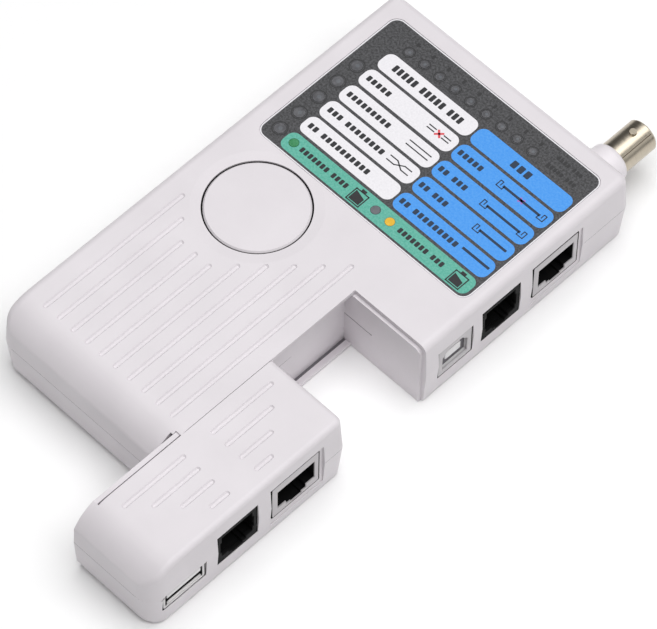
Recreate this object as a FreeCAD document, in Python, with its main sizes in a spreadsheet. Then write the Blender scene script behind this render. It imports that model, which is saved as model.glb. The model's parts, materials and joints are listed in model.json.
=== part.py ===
import FreeCAD, Part
import os
import re
import Sketcher

from FreeCAD import Placement, Rotation, Vector

# Hand-held network cable tester: a main unit with a docking bay at one corner and a
# remote unit that slides along the bay.  Frame: origin at the centre of the main unit's
# underside, +Z up through the label, +Y towards the coax socket, +X towards the side
# sockets.  The remote stands partly drawn out of its bay, towards -Y.  Millimetres.

DIMENSIONS = {
    # Main unit outline, at the parting plane
    "half_width": 42.5,
    "near_end": 72.7,
    "far_end": 71.4,
    "case_height": 24.7,
    "parting_height": 12.5,
    "top_inset": 0.6,
    "base_inset": 0.8,
    "wall": 2.0,
    "near_corner": 5.5,
    "far_corner": 2.8,
    "top_round": 2.3,
    "base_round": 0.9,
    "end_roll": 12.0,
    "end_roll_reach": 10.8,
    "foot_roll": 5.0,
    "foot_roll_reach": 4.3,
    # Docking bay in the main unit
    "bay_wall_x": 14.2,
    "bay_wall_y": 4.95,
    "lip_edge": 16.9,
    "lip_under": 23.9,
    "bead_under": 23.35,
    "bead_width": 0.45,
    "lip_cut_x": 15.0,
    "rabbet_depth": 0.9,
    "rabbet_width": 1.6,
    "rabbet_round": 2.2,
    "lip_cut_y": 65.1,
    "ledge_floor": 0.65,
    "ledge_rim": 1.25,
    "battery_edge_round": 0.8,
    # Grip grooves on the main unit
    "groove_first_x": -34.5,
    "groove_pitch": 5.08,
    "groove_width": 1.5,
    "groove_depth": 0.4,
    "groove_near": -63.5,
    # Label recess and overlay
    "label_left": -35.8,
    "label_right": 38.1,
    "label_near": 13.3,
    "label_far": 64.7,
    "label_corner": 2.6,
    "recess_depth": 0.45,
    "overlay_thickness": 0.35,
    "recess_margin": 0.5,
    "recess_corner": 3.1,
    # Lamps
    "column_lamp_x": -32.0,
    "column_lamp_near": 17.8,
    "column_lamp_pitch": 7.05,
    "column_lamp_r": 1.6,
    "row_lamp_y": 58.75,
    "row_lamp_left": -25.5,
    "row_lamp_pitch": 5.55,
    "row_lamp_r": 1.15,
    "strip_lamp_y": 17.1,
    "strip_lamp_r": 1.3,
    "lamp_gap": 0.08,
    "lamp_proud": 0.05,
    # Test button
    "button_x": -18.6,
    "button_y": -3.6,
    "button_r": 14.0,
    "button_gap": 0.5,
    "button_crown": 0.3,
    "button_flange": 15.6,
    "dish_r": 17.4,
    "dish_depth": 0.25,
    # Boards
    "board_thickness": 1.6,
    "board_top": 6.5,
    "board_near": -2.4,
    "board_far": 61.4,
    "board_right": 40.2,
    "upper_board": 14.8,
    "upper_board_right": 21.5,
    "upper_board_near": -12.0,
    "upper_board_step": -1.4,
    "upper_board_inner": 11.4,
    "board_left": -39.0,
    # Sockets
    "socket_face": 42.1,
    "lan_width": 16.2,
    "lan_height": 12.8,
    "lan_depth": 15.5,
    "lan_opening": 11.9,
    "lan_sill": 2.7,
    "lan_opening_height": 7.6,
    "lan_shoulder": 0.6,
    "latch_width": 6.8,
    "latch_sill": 1.1,
    "latch_key": 3.6,
    "latch_key_sill": 0.5,
    "phone_width": 13.4,
    "phone_height": 12.2,
    "phone_opening": 9.8,
    "phone_sill": 2.3,
    "phone_opening_height": 6.9,
    "jack_bore": 11.5,
    "wire": 0.4,
    "cutout_gap": 0.35,
    "frame_recess_x": 41.75,
    "frame_recess_low": 3.6,
    "frame_recess_side": 1.7,
    "main_lan_y": 43.6,
    "main_phone_y": 23.4,
    "main_usb_y": 6.8,
    "usb_b_width": 12.0,
    "usb_b_height": 10.8,
    "usb_b_depth": 16.0,
    "usb_a_width": 14.2,
    "usb_a_height": 6.2,
    "usb_a_depth": 14.0,
    "usb_a_low": 0.3,
    "shell_sheet": 0.4,
    # Coax socket
    "coax_x": 29.7,
    "coax_z": 12.3,
    "collar_r": 6.1,
    "collar_flange": 7.2,
    "collar_front": 78.3,
    "barrel_r": 4.8,
    "barrel_front": 90.0,
    "lug_y": 85.6,
    "lug_r": 1.0,
    "lug_reach": 5.6,
    # Battery
    "battery_left": -31.0,
    "battery_width": 26.5,
    "battery_near": -65.8,
    "battery_length": 46.4,
    "battery_low": 2.3,
    "battery_height": 17.5,
    "door_left": -34.0,
    "door_right": -1.6,
    "door_near": -67.0,
    "door_far": -16.8,
    "door_thickness": 1.0,
    "door_ledge": 1.4,
    "door_gap": 0.2,
    # Case screws
    "post_r": 3.6,
    "boss_r": 2.8,
    "screw_r": 1.25,
    "screw_head_r": 2.4,
    "screw_head": 1.8,
    "screw_seat": 8.0,
    "screw_length": 12.0,
    "small_post_r": 2.5,
    "small_screw_r": 0.95,
    "small_head_r": 1.9,
    # Remote unit
    "remote_inner": 17.05,
    "remote_block": 15.15,
    "remote_outer": 42.6,
    "remote_near": -100.6,
    "remote_far": -32.8,
    "remote_block_end": -93.5,
    "remote_far_corner": 2.2,
    "remote_round": 1.7,
    "rail_left": 15.05,
    "rail_thickness": 1.3,
    "rail_low": 0.75,
    "rail_high": 23.8,
    "web_low": 2.6,
    "web_high": 21.2,
    "rail_far": -33.3,
    "remote_lan_y": -50.2,
    "remote_phone_y": -70.5,
    "remote_usb_y": -88.9,
    "remote_groove_x": 21.9,
    "remote_groove_pitch": 5.05,
}

GROOVE_FAR = [-14.1, -19.3, -24.4, -24.4, -24.4, -19.3, -14.2, -9.1, -4.0, 1.1]
SCREW_PLACES = [(-36.6, 65.4), (14.0, 65.4), (-36.6, -61.5), (8.0, -61.5)]
BOARD_SCREWS = [(-35.5, 2.5), (18.0, 2.5), (-35.5, 56.5), (37.4, 57.0)]
UPPER_SCREWS = [(-36.4, 12.0), (18.0, 12.0), (-36.4, 53.5), (18.0, 53.5)]
REMOTE_SCREW_PLACES = [(22.4, -91.8), (22.4, -37.4)]
REMOTE_GROOVES_FAR = [(-59.6, -38.1), (-59.7, -42.9), (-59.7, -48.1), (-59.5, -53.1)]
REMOTE_GROOVES_NEAR = [(-90.1, -68.5), (-84.9, -68.5), (-79.9, -68.5), (-74.9, -68.2)]
STRIP_LAMP_X = [-26.2, 3.3, 8.4]

TURN = {
    "x": Rotation(Vector(0, 1, 0), 90),
    "y": Rotation(Vector(1, 0, 0), -90),
    "z": Rotation(),
}
WORD = re.compile(r"[a-z][a-z_0-9]*")

doc = FreeCAD.newDocument("NetworkCableTester")
sizes = doc.addObject("Spreadsheet::Sheet", "sizes")
for row, (alias, number) in enumerate(DIMENSIONS.items(), start=1):
    sizes.set(f"A{row}", alias)
    sizes.set(f"B{row}", str(number))
    sizes.setAlias(f"B{row}", alias)
doc.recompute()

pieces = []


# ---------------------------------------------------------------- building helpers

def bind(part, prop, formula):
    """Drive one property from the spreadsheet; words in the formula are its aliases."""
    text = WORD.sub(lambda word: "sizes." + word.group(0), str(formula))
    part.setExpression(prop, text)


def place(part, x, y, z):
    """Bind the position of a part to three formulas."""
    for axis, formula in zip("xyz", (x, y, z)):
        bind(part, "Placement.Base." + axis, formula)
    return part


def box(name, x, y, z):
    """Block between two corners; x, y and z are (low, high) pairs of formulas."""
    block = doc.addObject("Part::Box", name)
    for prop, (low, high) in zip(("Length", "Width", "Height"), (x, y, z)):
        bind(block, prop, f"({high}) - ({low})")
    return place(block, x[0], y[0], z[0])


def cylinder(name, radius, height, base, along="z"):
    """Round bar from a base point, along x, y or z."""
    bar = doc.addObject("Part::Cylinder", name)
    bar.Placement = Placement(Vector(), TURN[along])
    bind(bar, "Radius", radius)
    bind(bar, "Height", height)
    return place(bar, *base)


def tapered_block(name, low, high, z_low, z_high):
    """Block whose outline goes from low at z_low to high at z_high; each is (x0, x1, y0, y1)."""
    wedge = doc.addObject("Part::Wedge", name)
    wedge.Placement = Placement(Vector(), Rotation(Vector(1, 0, 0), 90))
    bind(wedge, "Ymin", z_low)
    bind(wedge, "Ymax", z_high)
    for mark, (x0, x1, y0, y1) in (("", low), ("2", high)):
        bind(wedge, f"X{mark}min", x0)
        bind(wedge, f"X{mark}max", x1)
        bind(wedge, f"Z{mark}min", f"-({y1})")
        bind(wedge, f"Z{mark}max", f"-({y0})")
    return wedge


def fuse(name, *shapes):
    """Join solids into one."""
    union = doc.addObject("Part::MultiFuse", name)
    union.Shapes = list(shapes)
    union.Refine = True
    return union


def cut(name, base, *tools):
    """Take one or more tools away from a base."""
    tool = tools[0] if len(tools) == 1 else fuse(name + "_tools", *tools)
    result = doc.addObject("Part::Cut", name)
    result.Base = base
    result.Tool = tool
    result.Refine = True
    return result


def group(name, solids):
    """Several separate, alike solids in one node."""
    together = doc.addObject("Part::Compound", name)
    together.Links = list(solids)
    return together


def upright_edge(edge):
    """Whether an edge is a plain upright one."""
    room = edge.BoundBox
    return room.ZLength > 0.1 and room.XLength < 0.01 and room.YLength < 0.01


def fillet(name, base, radius, chosen):
    """Round the edges that the test picks, with a radius named in the sheet."""
    doc.recompute()
    rounded = doc.addObject("Part::Fillet", name)
    rounded.Base = base
    r = DIMENSIONS[radius]
    edges = base.Shape.Edges
    rounded.Edges = [(i, r, r) for i, edge in enumerate(edges, start=1) if chosen(edge)]
    doc.recompute()
    return rounded


def keep(part, label):
    """Name a finished piece; its label names its file."""
    part.Label = label
    pieces.append(part)
    return part


def plane_of(body, role):
    """Find one of a body's own origin planes."""
    return next(o for o in body.Origin.OriginFeatures if o.Role == role)


def outline(body, name, role, points, offset="0"):
    """Closed polygon sketch; each vertex is held by two driven distances from the origin."""
    sketch = body.newObject("Sketcher::SketchObject", name)
    sketch.AttachmentSupport = (plane_of(body, role), [""])
    sketch.MapMode = "FlatFace"
    bind(sketch, "AttachmentOffset.Base.z", offset)
    count = len(points)
    start = [Rotation(Vector(0, 0, 1), 360.0 * i / count) * Vector(10, 0, 0) for i in range(count)]
    for i in range(count):
        sketch.addGeometry(Part.LineSegment(start[i], start[(i + 1) % count]))
    for i in range(count):
        sketch.addConstraint(Sketcher.Constraint("Coincident", i, 2, (i + 1) % count, 1))
    for i, vertex in enumerate(points):
        for kind, formula in zip(("DistanceX", "DistanceY"), vertex):
            here = start[i].x if kind == "DistanceX" else start[i].y
            if formula == "0":
                axis = -2 if kind == "DistanceX" else -1
                sketch.addConstraint(Sketcher.Constraint("PointOnObject", i, 1, axis))
                continue
            index = sketch.addConstraint(Sketcher.Constraint(kind, -1, 1, i, 1, here))
            bind(sketch, f"Constraints[{index}]", formula)
    return sketch


def rectangle(x, y):
    """Corner points of a rectangle from (low, high) pairs of formulas."""
    return [(x[0], y[0]), (x[1], y[0]), (x[1], y[1]), (x[0], y[1])]


def new_body(name):
    """Empty PartDesign body."""
    return doc.addObject("PartDesign::Body", name)


def pad(body, sketch, length):
    """Pad a sketch by a driven length."""
    feature = body.newObject("PartDesign::Pad", sketch.Name + "_pad")
    feature.Profile = sketch
    bind(feature, "Length", length)
    sketch.Visibility = False
    return feature


def turned(name, points, along="z", base=("0", "0", "0")):
    """Body turned from a profile of (radius, height) points about its own axis."""
    body = new_body(name)
    sketch = outline(body, name + "_profile", "XZ_Plane", points)
    doc.recompute()
    turn = body.newObject("PartDesign::Revolution", name + "_turn")
    turn.Profile = sketch
    turn.ReferenceAxis = (sketch, ["V_Axis"])
    turn.Angle = 360
    body.Placement = Placement(Vector(), TURN[along])
    return place(body, *base)


def middle(edge):
    """Middle point of an edge."""
    box_ = edge.BoundBox
    return box_.Center


def upright(edge):
    """True for an edge that climbs the whole side of a block."""
    return edge.BoundBox.ZLength > 5 and edge.BoundBox.XLength < 2 and edge.BoundBox.YLength < 2


# ---------------------------------------------------------------- shared outer shapes

def end_roll_cutter(name, near, height):
    """What lies outside the large round that rolls the top down to the near end."""
    yc = f"{near} + end_roll_reach"
    slab = box(name + "_slab", ("-60", "60"), (f"{near} - 5", yc), (f"{height} - end_roll", f"{height} + 5"))
    drum = cylinder(name + "_drum", "end_roll", "130", ("-65", yc, f"{height} - end_roll"), "x")
    return cut(name, slab, drum)


def foot_roll_cutter(name, near):
    """What lies outside the small round under the near end."""
    yc = f"{near} + base_inset + foot_roll_reach"
    slab = box(name + "_slab", ("-60", "60"), (f"{near} - 5", yc), ("-5", "foot_roll"))
    drum = cylinder(name + "_drum", "foot_roll", "130", ("-65", yc, "foot_roll"), "x")
    return cut(name, slab, drum)


def shell_pair(name, sides, inset_sides, near, corners, round_name, sharp=lambda p: False):
    """Outer solids of a top and a bottom shell.

    sides are the four limits at the parting plane, inset_sides tells which of them lean in.
    corners is a list of (test, radius name) pairs for the upright edges; sharp picks the rim
    edges that stay unrounded.
    """
    halves = []
    for level, inset, z_flat in (("top", "top_inset", "case_height"), ("base", "base_inset", "0")):
        signs = (1, -1, 1, -1)
        lean = [f"{s} + {sign * on} * {inset}" for s, sign, on in zip(sides, signs, inset_sides)]
        if level == "top":
            block = tapered_block(name + "_top_block", sides, lean, "parting_height", z_flat)
            roll = end_roll_cutter(name + "_end_roll", near, "case_height")
        else:
            block = tapered_block(name + "_base_block", lean, sides, z_flat, "parting_height")
            roll = foot_roll_cutter(name + "_foot_roll", near)
        solid = block
        for index, (test, radius) in enumerate(corners):
            solid = fillet(f"{name}_{level}_corner_{index}", solid, radius,
                           lambda e, t=test: upright(e) and t(middle(e)))
        solid = cut(f"{name}_{level}_rolled", solid, roll)
        halves.append(solid)
    top, base = halves
    flat = DIMENSIONS["parting_height"]

    def rim(edge, above):
        bb = edge.BoundBox
        centre_out = bb.ZMin > flat + 1 if above else bb.ZMax < flat - 1
        across = bb.XLength > 20 and bb.YLength < 0.2 and not on_end(bb)
        return centre_out and not across and not sharp(middle(edge))

    def on_end(bb):
        low, high = DIMENSIONS["near_end"], abs(DIMENSIONS["remote_near"])
        return abs(bb.YMin + low) < 2.6 or abs(bb.YMin + high) < 2.6 or bb.YMin > -40

    top = fillet(name + "_top_rim", top, round_name, lambda e: rim(e, True))
    base = fillet(name + "_base_rim", base, "base_round", lambda e: rim(e, False))
    return top, base


def groove(name, x, y_low, y_high, top):
    """Long shallow groove along Y with sloping sides and round ends, to cut from the top."""
    floor_z = f"{top} - groove_depth"
    floor_half = "(groove_width / 2 - groove_depth)"
    rim_half = "(groove_width / 2 + 0.5)"
    run = (f"({y_low} + groove_width / 2)", f"({y_high} - groove_width / 2)")
    tools = [tapered_block(name, (f"{x} - {floor_half}", f"{x} + {floor_half}", *run),
                           (f"{x} - {rim_half}", f"{x} + {rim_half}", *run), floor_z, f"{top} + 0.5")]
    for i, y in enumerate(run):
        end = doc.addObject("Part::Cone", f"{name}_end_{i}")
        bind(end, "Radius1", floor_half)
        bind(end, "Radius2", rim_half)
        bind(end, "Height", "groove_depth + 0.5")
        place(end, x, y, floor_z)
        tools.append(end)
    return tools


def cavity(name, sides, near_low, near_high, low, high, shoulder):
    """Hollow inside of a shell half: a main block and a lower, longer one at the near end."""
    x0, x1, y1 = sides
    tall = box(name + "_tall", (x0, x1), (near_high, y1), (low, high))
    long = box(name + "_long", (x0, x1), (near_low, y1), (low, shoulder))
    return fuse(name, tall, long)


def socket_cutouts(name, far_x, sockets):
    """Openings in the side wall; sockets are (y centre, width, height, low z) formulas."""
    tools = []
    for index, (y, width, height, low) in enumerate(sockets):
        tools.append(box(f"{name}_{index}", (f"{far_x} - 6", "60"),
                         (f"{y} - {width} / 2 - cutout_gap", f"{y} + {width} / 2 + cutout_gap"),
                         (f"{low} - cutout_gap", f"{low} + {height} + cutout_gap")))
    return tools


def screw_seats(name, places):
    """Counterbores and clearance holes from underneath for the case screws."""
    tools = []
    for i, (x, y) in enumerate(places):
        tools.append(cylinder(f"{name}_seat_{i}", "screw_head_r + 0.25", "screw_seat + 1", (x, y, "-1")))
        tools.append(cylinder(f"{name}_hole_{i}", "screw_r + 0.1", "parting_height",
                              (x, y, "screw_seat - 1")))
    return tools


def screws(name, places, shaft_r, head_r, seat, length, head):
    """Pan-head screws driven upwards, all alike, as one piece."""
    solids = []
    for i, (x, y) in enumerate(places):
        solids.append(turned(f"{name}_{i}",
                             [("0", f"-({head}) + 0.7"), (f"{head_r} * 0.3", f"-({head}) + 0.7"),
                              (f"{head_r} * 0.3", f"-({head})"), (f"{head_r} - 0.3", f"-({head})"),
                              (head_r, f"-({head}) + 0.4"), (head_r, "0"), (shaft_r, "0"),
                              (shaft_r, f"{length} - 1"), (f"{shaft_r} * 0.3", length), ("0", length)],
                             base=(x, y, seat)))
    return keep(group(name, solids), name)


# ---------------------------------------------------------------- main unit shells

CASE_SIDES = ("-half_width", "half_width", "-near_end", "far_end")
CASE_CORNERS = [(lambda p: p.y < -50, "near_corner"), (lambda p: p.y > 50, "far_corner")]
top_outer, base_outer = shell_pair("case", CASE_SIDES, (1, 1, 1, 1), "-near_end", CASE_CORNERS, "top_round")

MAIN_SOCKETS = [
    ("main_lan_y", "lan_width", "lan_height", "board_top"),
    ("main_phone_y", "phone_width", "phone_height", "board_top"),
    ("main_usb_y", "usb_b_width", "usb_b_height", "board_top"),
]
CAVITY_LEFT = "-half_width + wall + 0.6"
CAVITY_RIGHT = "half_width - wall"
CAVITY_FAR = "far_end - wall - 0.3"


def case_cavity(name, near_low, near_high, low, high, shoulder):
    """Inside of the main unit: the full length beside the bay, the full width beyond it."""
    left = cavity(name + "_left", (CAVITY_LEFT, "bay_wall_x - wall", CAVITY_FAR),
                  near_low, near_high, low, high, shoulder)
    right = box(name + "_right", ("bay_wall_x - wall - 1", CAVITY_RIGHT), ("-bay_wall_y + wall", CAVITY_FAR),
                (low, high))
    return fuse(name, left, right)


def bay_tool(name, low, high):
    """Everything the docking bay takes away between two heights, beyond the lip and ledge."""
    return [
        box(name + "_corner", ("lip_edge", "60"), ("-90", "-bay_wall_y"), ("-1", "30")),
        box(name + "_end", ("lip_cut_x", "60"), ("-90", "-lip_cut_y"), ("-1", "30")),
        box(name + "_undercut", ("bay_wall_x", "lip_edge + 1"), ("-90", "-bay_wall_y"), (low, high)),
        box(name + "_channel", ("bay_wall_x", "lip_edge - bead_width"), ("-90", "-bay_wall_y"),
            ("ledge_floor", "lip_under")),
    ]


# Rabbet round the outer edges of the bay's end wall
rabbet_room = ("-bay_wall_y - 2", "-bay_wall_y + rabbet_depth")
rabbet_core = fillet("rabbet_core_round",
                     box("rabbet_core", ("0", "half_width - rabbet_width"), ("-bay_wall_y - 3", "0"),
                         ("-2", "case_height - rabbet_width")),
                     "rabbet_round",
                     lambda e: e.BoundBox.YLength > 1 and e.BoundBox.ZMin > 20 and e.BoundBox.XMin > 20)
bay_rabbet = cut("bay_rabbet", box("rabbet_block", ("lip_edge", "60"), rabbet_room, ("-1", "30")), rabbet_core)

# Posts hang from the ceiling for the case screws and the upper board; ribs keep the battery down.
top_adds = []
for i, (x, y) in enumerate(SCREW_PLACES):
    top_adds.append(cylinder(f"top_post_{i}", "post_r", "case_height - 1 - parting_height",
                             (x, y, "parting_height")))
for i, (x, y) in enumerate(UPPER_SCREWS):
    top_adds.append(cylinder(f"upper_post_{i}", "small_post_r",
                             "case_height - 1 - upper_board - board_thickness",
                             (x, y, "upper_board + board_thickness")))
battery_top = "battery_low + battery_height"
for i, y in enumerate(("battery_near + 8", "battery_near + battery_length - 8")):
    top_adds.append(box(f"battery_rib_{i}", (CAVITY_LEFT, "bay_wall_x - 1"), (f"{y} - 0.6", f"{y} + 0.6"),
                        (f"{battery_top} + 0.1", "case_height - 1")))

top_tools = [*bay_tool("bay_top", "ledge_rim", "bead_under"), bay_rabbet]
top_tools += socket_cutouts("case_cutout_top", "half_width", MAIN_SOCKETS)
for i, (x, y) in enumerate(SCREW_PLACES):
    top_tools.append(cylinder(f"top_pilot_{i}", "screw_r + 0.02", "9.5", (x, y, "parting_height - 1")))
for i, (x, y) in enumerate(UPPER_SCREWS):
    top_tools.append(cylinder(f"upper_pilot_{i}", "small_screw_r + 0.02", "5.5",
                              (x, y, "upper_board + board_thickness - 0.5")))
for i, y_far in enumerate(GROOVE_FAR):
    top_tools += groove(f"groove_{i}", f"groove_first_x + {i} * groove_pitch", "groove_near", str(y_far),
                        "case_height")

recess_low = "case_height - recess_depth"
label_recess = box("label_recess", ("label_left - recess_margin", "label_right + recess_margin"),
                   ("label_near - recess_margin", "label_far + recess_margin"),
                   (recess_low, "case_height + 1"))
label_recess = fillet("label_recess_round", label_recess, "recess_corner", upright_edge)
top_tools.append(label_recess)

# Button hole with the shallow dished ring round it
top_tools.append(cylinder("button_hole", "button_r + button_gap", "20", ("button_x", "button_y", "10")))
dish = doc.addObject("Part::Cone", "button_dish")
bind(dish, "Radius1", "button_r + button_gap")
bind(dish, "Radius2", "dish_r")
bind(dish, "Height", "dish_depth")
place(dish, "button_x", "button_y", "case_height - dish_depth")
top_tools.append(dish)

LAMPS = {
    "column_lamps": [("column_lamp_x", f"column_lamp_near + {i} * column_lamp_pitch", "column_lamp_r")
                     for i in range(5)],
    "row_lamps": [(f"row_lamp_left + {i} * row_lamp_pitch", "row_lamp_y", "row_lamp_r") for i in range(9)],
    "battery_lamp_green": [(str(STRIP_LAMP_X[0]), "strip_lamp_y", "strip_lamp_r")],
    "battery_lamp_grey": [(str(STRIP_LAMP_X[1]), "strip_lamp_y", "strip_lamp_r")],
    "battery_lamp_yellow": [(str(STRIP_LAMP_X[2]), "strip_lamp_y", "strip_lamp_r")],
}
overlay_tools = []
for lamp_name, lamp_places in LAMPS.items():
    for i, (x, y, r) in enumerate(lamp_places):
        top_tools.append(cylinder(f"{lamp_name}_shell_hole_{i}", f"{r} + lamp_gap", "10",
                                  (x, y, "case_height - 5")))
        overlay_tools.append(cylinder(f"{lamp_name}_label_hole_{i}", f"{r} + lamp_gap", "5",
                                      (x, y, "case_height - 3")))

# Coax hole through the far end, shallow recess round the framed LAN jack
coax_hole = [("coax_x", "60", "coax_z")]
top_tools.append(cylinder("coax_hole_top", "collar_r + 0.1", "30", coax_hole[0], "y"))
top_tools.append(box("lan_recess_top", ("frame_recess_x", "60"),
                     ("main_lan_y - lan_width / 2 - 0.8", "main_lan_y + lan_width / 2 + frame_recess_side"),
                     ("frame_recess_low", "board_top + lan_height + 0.7")))

top_hollow = cut("top_hollow", top_outer,
                 case_cavity("top_cavity", "-near_end + 3.6", "-near_end + 6.7", "-1",
                             "case_height - wall", "case_height - 4.5"))
top_joined = fuse("top_joined", top_hollow, *top_adds)
keep(cut("main_top", top_joined, *top_tools), "main_top_shell")

# Bottom shell: floor, bosses for screws and board, battery opening with a ledge for its door
base_adds = []
for i, (x, y) in enumerate(SCREW_PLACES):
    base_adds.append(cylinder(f"base_boss_{i}", "post_r", "parting_height - 0.1 - 1", (x, y, "1")))
for i, (x, y) in enumerate(BOARD_SCREWS):
    base_adds.append(cylinder(f"board_boss_{i}", "small_post_r", "board_top - board_thickness - 1",
                              (x, y, "1")))
base_hollow = cut("base_hollow", base_outer,
                  case_cavity("base_cavity", "-near_end + 3.2", "-near_end + 3.2", "wall", "20", "20"))
base_joined = fuse("base_joined", base_hollow, *base_adds)

base_tools = [*bay_tool("bay_base", "ledge_rim", "bead_under"), bay_rabbet]
base_tools += socket_cutouts("case_cutout_base", "half_width", MAIN_SOCKETS)
base_tools += screw_seats("case_screw", SCREW_PLACES)
for i, (x, y) in enumerate(BOARD_SCREWS):
    base_tools.append(cylinder(f"board_pilot_{i}", "small_screw_r + 0.02", "4",
                               (x, y, "board_top - board_thickness - 3.4")))
base_tools.append(box("door_rebate", ("door_left", "door_right"), ("door_near", "door_far"),
                      ("-1", "door_thickness")))
base_tools.append(box("door_opening", ("door_left + door_ledge", "door_right - door_ledge"),
                      ("door_near + door_ledge / 2", "door_far - door_ledge"), ("-1", "wall + 1")))
base_tools.append(cylinder("coax_hole_base", "collar_r + 0.1", "30", coax_hole[0], "y"))
base_tools.append(box("lan_recess_base", ("frame_recess_x", "60"),
                      ("main_lan_y - lan_width / 2 - 0.8", "main_lan_y + lan_width / 2 + frame_recess_side"),
                      ("frame_recess_low", "board_top + lan_height + 0.7")))
keep(cut("main_base", base_joined, *base_tools), "main_bottom_shell")

# Battery door: plate in the rebate, plug in the opening, finger grooves outside
door_plate = box("door_plate", ("door_left + door_gap", "door_right - door_gap"),
                 ("door_near + door_gap", "door_far - door_gap"), ("0", "door_thickness - 0.05"))
door_plug = box("door_plug", ("door_left + door_ledge + door_gap", "door_right - door_ledge - door_gap"),
                ("door_near + door_ledge / 2 + door_gap", "door_far - door_ledge - door_gap"),
                ("0.3", "wall - 0.1"))
finger_slots = [box(f"finger_slot_{i}", ("door_left + 10", "door_right - 10"),
                    (f"door_far - 6 - {i} * 2.2", f"door_far - 5 - {i} * 2.2"), ("-1", "0.5"))
                for i in range(4)]
keep(cut("door_cut", fuse("door_solid", door_plate, door_plug), *finger_slots), "battery_door")

# ---------------------------------------------------------------- label and lamps

overlay_body = new_body("overlay_body")
overlay_sketch = outline(overlay_body, "overlay_outline", "XY_Plane",
                         rectangle(("label_left", "label_right"), ("label_near", "label_far")),
                         "case_height - recess_depth")
pad(overlay_body, overlay_sketch, "overlay_thickness")
overlay_round = fillet("overlay_round", overlay_body, "label_corner", upright_edge)
keep(cut("overlay", overlay_round, *overlay_tools), "label_overlay")

lamp_top = "case_height - recess_depth + overlay_thickness + lamp_proud"
for lamp_name, lamp_places in LAMPS.items():
    bulbs = []
    for i, (x, y, r) in enumerate(lamp_places):
        bulbs.append(turned(f"{lamp_name}_{i}",
                            [("0", "0"), (f"{r} + 0.35", "0"), (f"{r} + 0.35", "1"), (r, "1"),
                             (r, f"{lamp_top} - upper_board - board_thickness"),
                             ("0", f"{lamp_top} - upper_board - board_thickness")],
                            base=(x, y, "upper_board + board_thickness")))
    keep(group(lamp_name + "_group", bulbs) if len(bulbs) > 1 else bulbs[0], lamp_name)

# ---------------------------------------------------------------- test button and its switch

board_up = "upper_board + board_thickness"
keep(turned("button_turned",
            [("0", "20.7"), ("2.2", "20.7"), ("2.2", "case_height - wall - 1.3"),
             ("button_flange", "case_height - wall - 1.3"), ("button_flange", "case_height - wall - 0.1"),
             ("button_r", "case_height - wall - 0.1"), ("button_r", "case_height - 0.5"),
             ("button_r - 0.4", "case_height - 0.1"), ("0", "case_height - 0.1 + button_crown")],
            base=("button_x", "button_y", "0")), "test_button")
switch_block = box("switch_block", ("button_x - 3", "button_x + 3"), ("button_y - 3", "button_y + 3"),
                   (board_up, f"{board_up} + 3.4"))
switch_bore = cylinder("switch_bore", "1.8", "5", ("button_x", "button_y", f"{board_up} + 1.2"))
keep(cut("switch_cut", switch_block, switch_bore), "switch_body")
keep(cylinder("switch_stub", "1.72", f"18.4 - ({board_up})", ("button_x", "button_y", f"{board_up} + 2.3")),
     "switch_plunger")

# ---------------------------------------------------------------- boards and their parts

main_board_body = new_body("main_board_body")
pad(main_board_body,
    outline(main_board_body, "main_board_outline", "XY_Plane",
            rectangle(("board_left", "board_right"), ("board_near", "board_far")),
            "board_top - board_thickness"),
    "board_thickness")
board_tools = [cylinder(f"board_hole_{i}", "small_screw_r + 0.15", "5", (x, y, "board_top - 3"))
               for i, (x, y) in enumerate(BOARD_SCREWS)]
keep(cut("main_board_cut", main_board_body, *board_tools), "main_board")

upper_body = new_body("upper_board_body")
pad(upper_body,
    outline(upper_body, "upper_board_outline", "XY_Plane",
            [("board_left", "upper_board_near"), ("upper_board_inner", "upper_board_near"),
             ("upper_board_inner", "upper_board_step"), ("upper_board_right", "upper_board_step"),
             ("upper_board_right", "board_far"), ("board_left", "board_far")], "upper_board"),
    "board_thickness")
upper_tools = [cylinder(f"upper_hole_{i}", "small_screw_r + 0.15", "5", (x, y, "upper_board - 1"))
               for i, (x, y) in enumerate(UPPER_SCREWS)]
keep(cut("upper_board_cut", upper_body, *upper_tools), "upper_board")

keep(box("header_block", ("-14", "8"), ("46", "48.6"), ("board_top", "upper_board")), "board_header")

chip_body = box("chip_body", ("-12", "0"), ("24", "31.5"), ("board_top + 0.2", "board_top + 2.4"))
chip_legs = [box(f"chip_leg_{side}_{i}", (f"-11.5 + {i} * 1.27", f"-11.1 + {i} * 1.27"),
                 (low, high), ("board_top", "board_top + 1.2"))
             for i in range(9) for side, (low, high) in enumerate((("22.6", "24.2"), ("31.3", "32.9")))]
keep(fuse("chip", chip_body, *chip_legs), "controller_chip")
keep(group("resistor_group", [box(f"resistor_{i}", (f"-26 + {i} * 3.4", f"-24.4 + {i} * 3.4"), ("12", "15.2"),
                                  ("board_top", "board_top + 0.7")) for i in range(12)]), "resistors")
keep(turned("capacitor_turned", [("0", "0"), ("4", "0"), ("4", "5.6"), ("3.7", "6"), ("3.7", "6.2"),
                                 ("4", "6.5"), ("4", "7.3"), ("3.6", "7.7"), ("0", "7.7")],
            base=("-24", "30", "board_top")), "capacitor")

screws("case_screws", SCREW_PLACES, "screw_r", "screw_head_r", "screw_seat", "screw_length", "screw_head")


def small_screws(name, places, seat, downwards):
    """Small board screws; downwards tells which way they are driven."""
    solids = []
    flip = -1 if downwards else 1
    for i, (x, y) in enumerate(places):
        profile = [("0", f"{-flip * 1.3}"), ("small_head_r", f"{-flip * 1.3}"), ("small_head_r", "0"),
                   ("small_screw_r", "0"), ("small_screw_r", f"{flip * 4.6}"), ("0", f"{flip * 4.6}")]
        solids.append(turned(f"{name}_{i}", profile, base=(x, y, seat)))
    return keep(group(name, solids), name)


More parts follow.
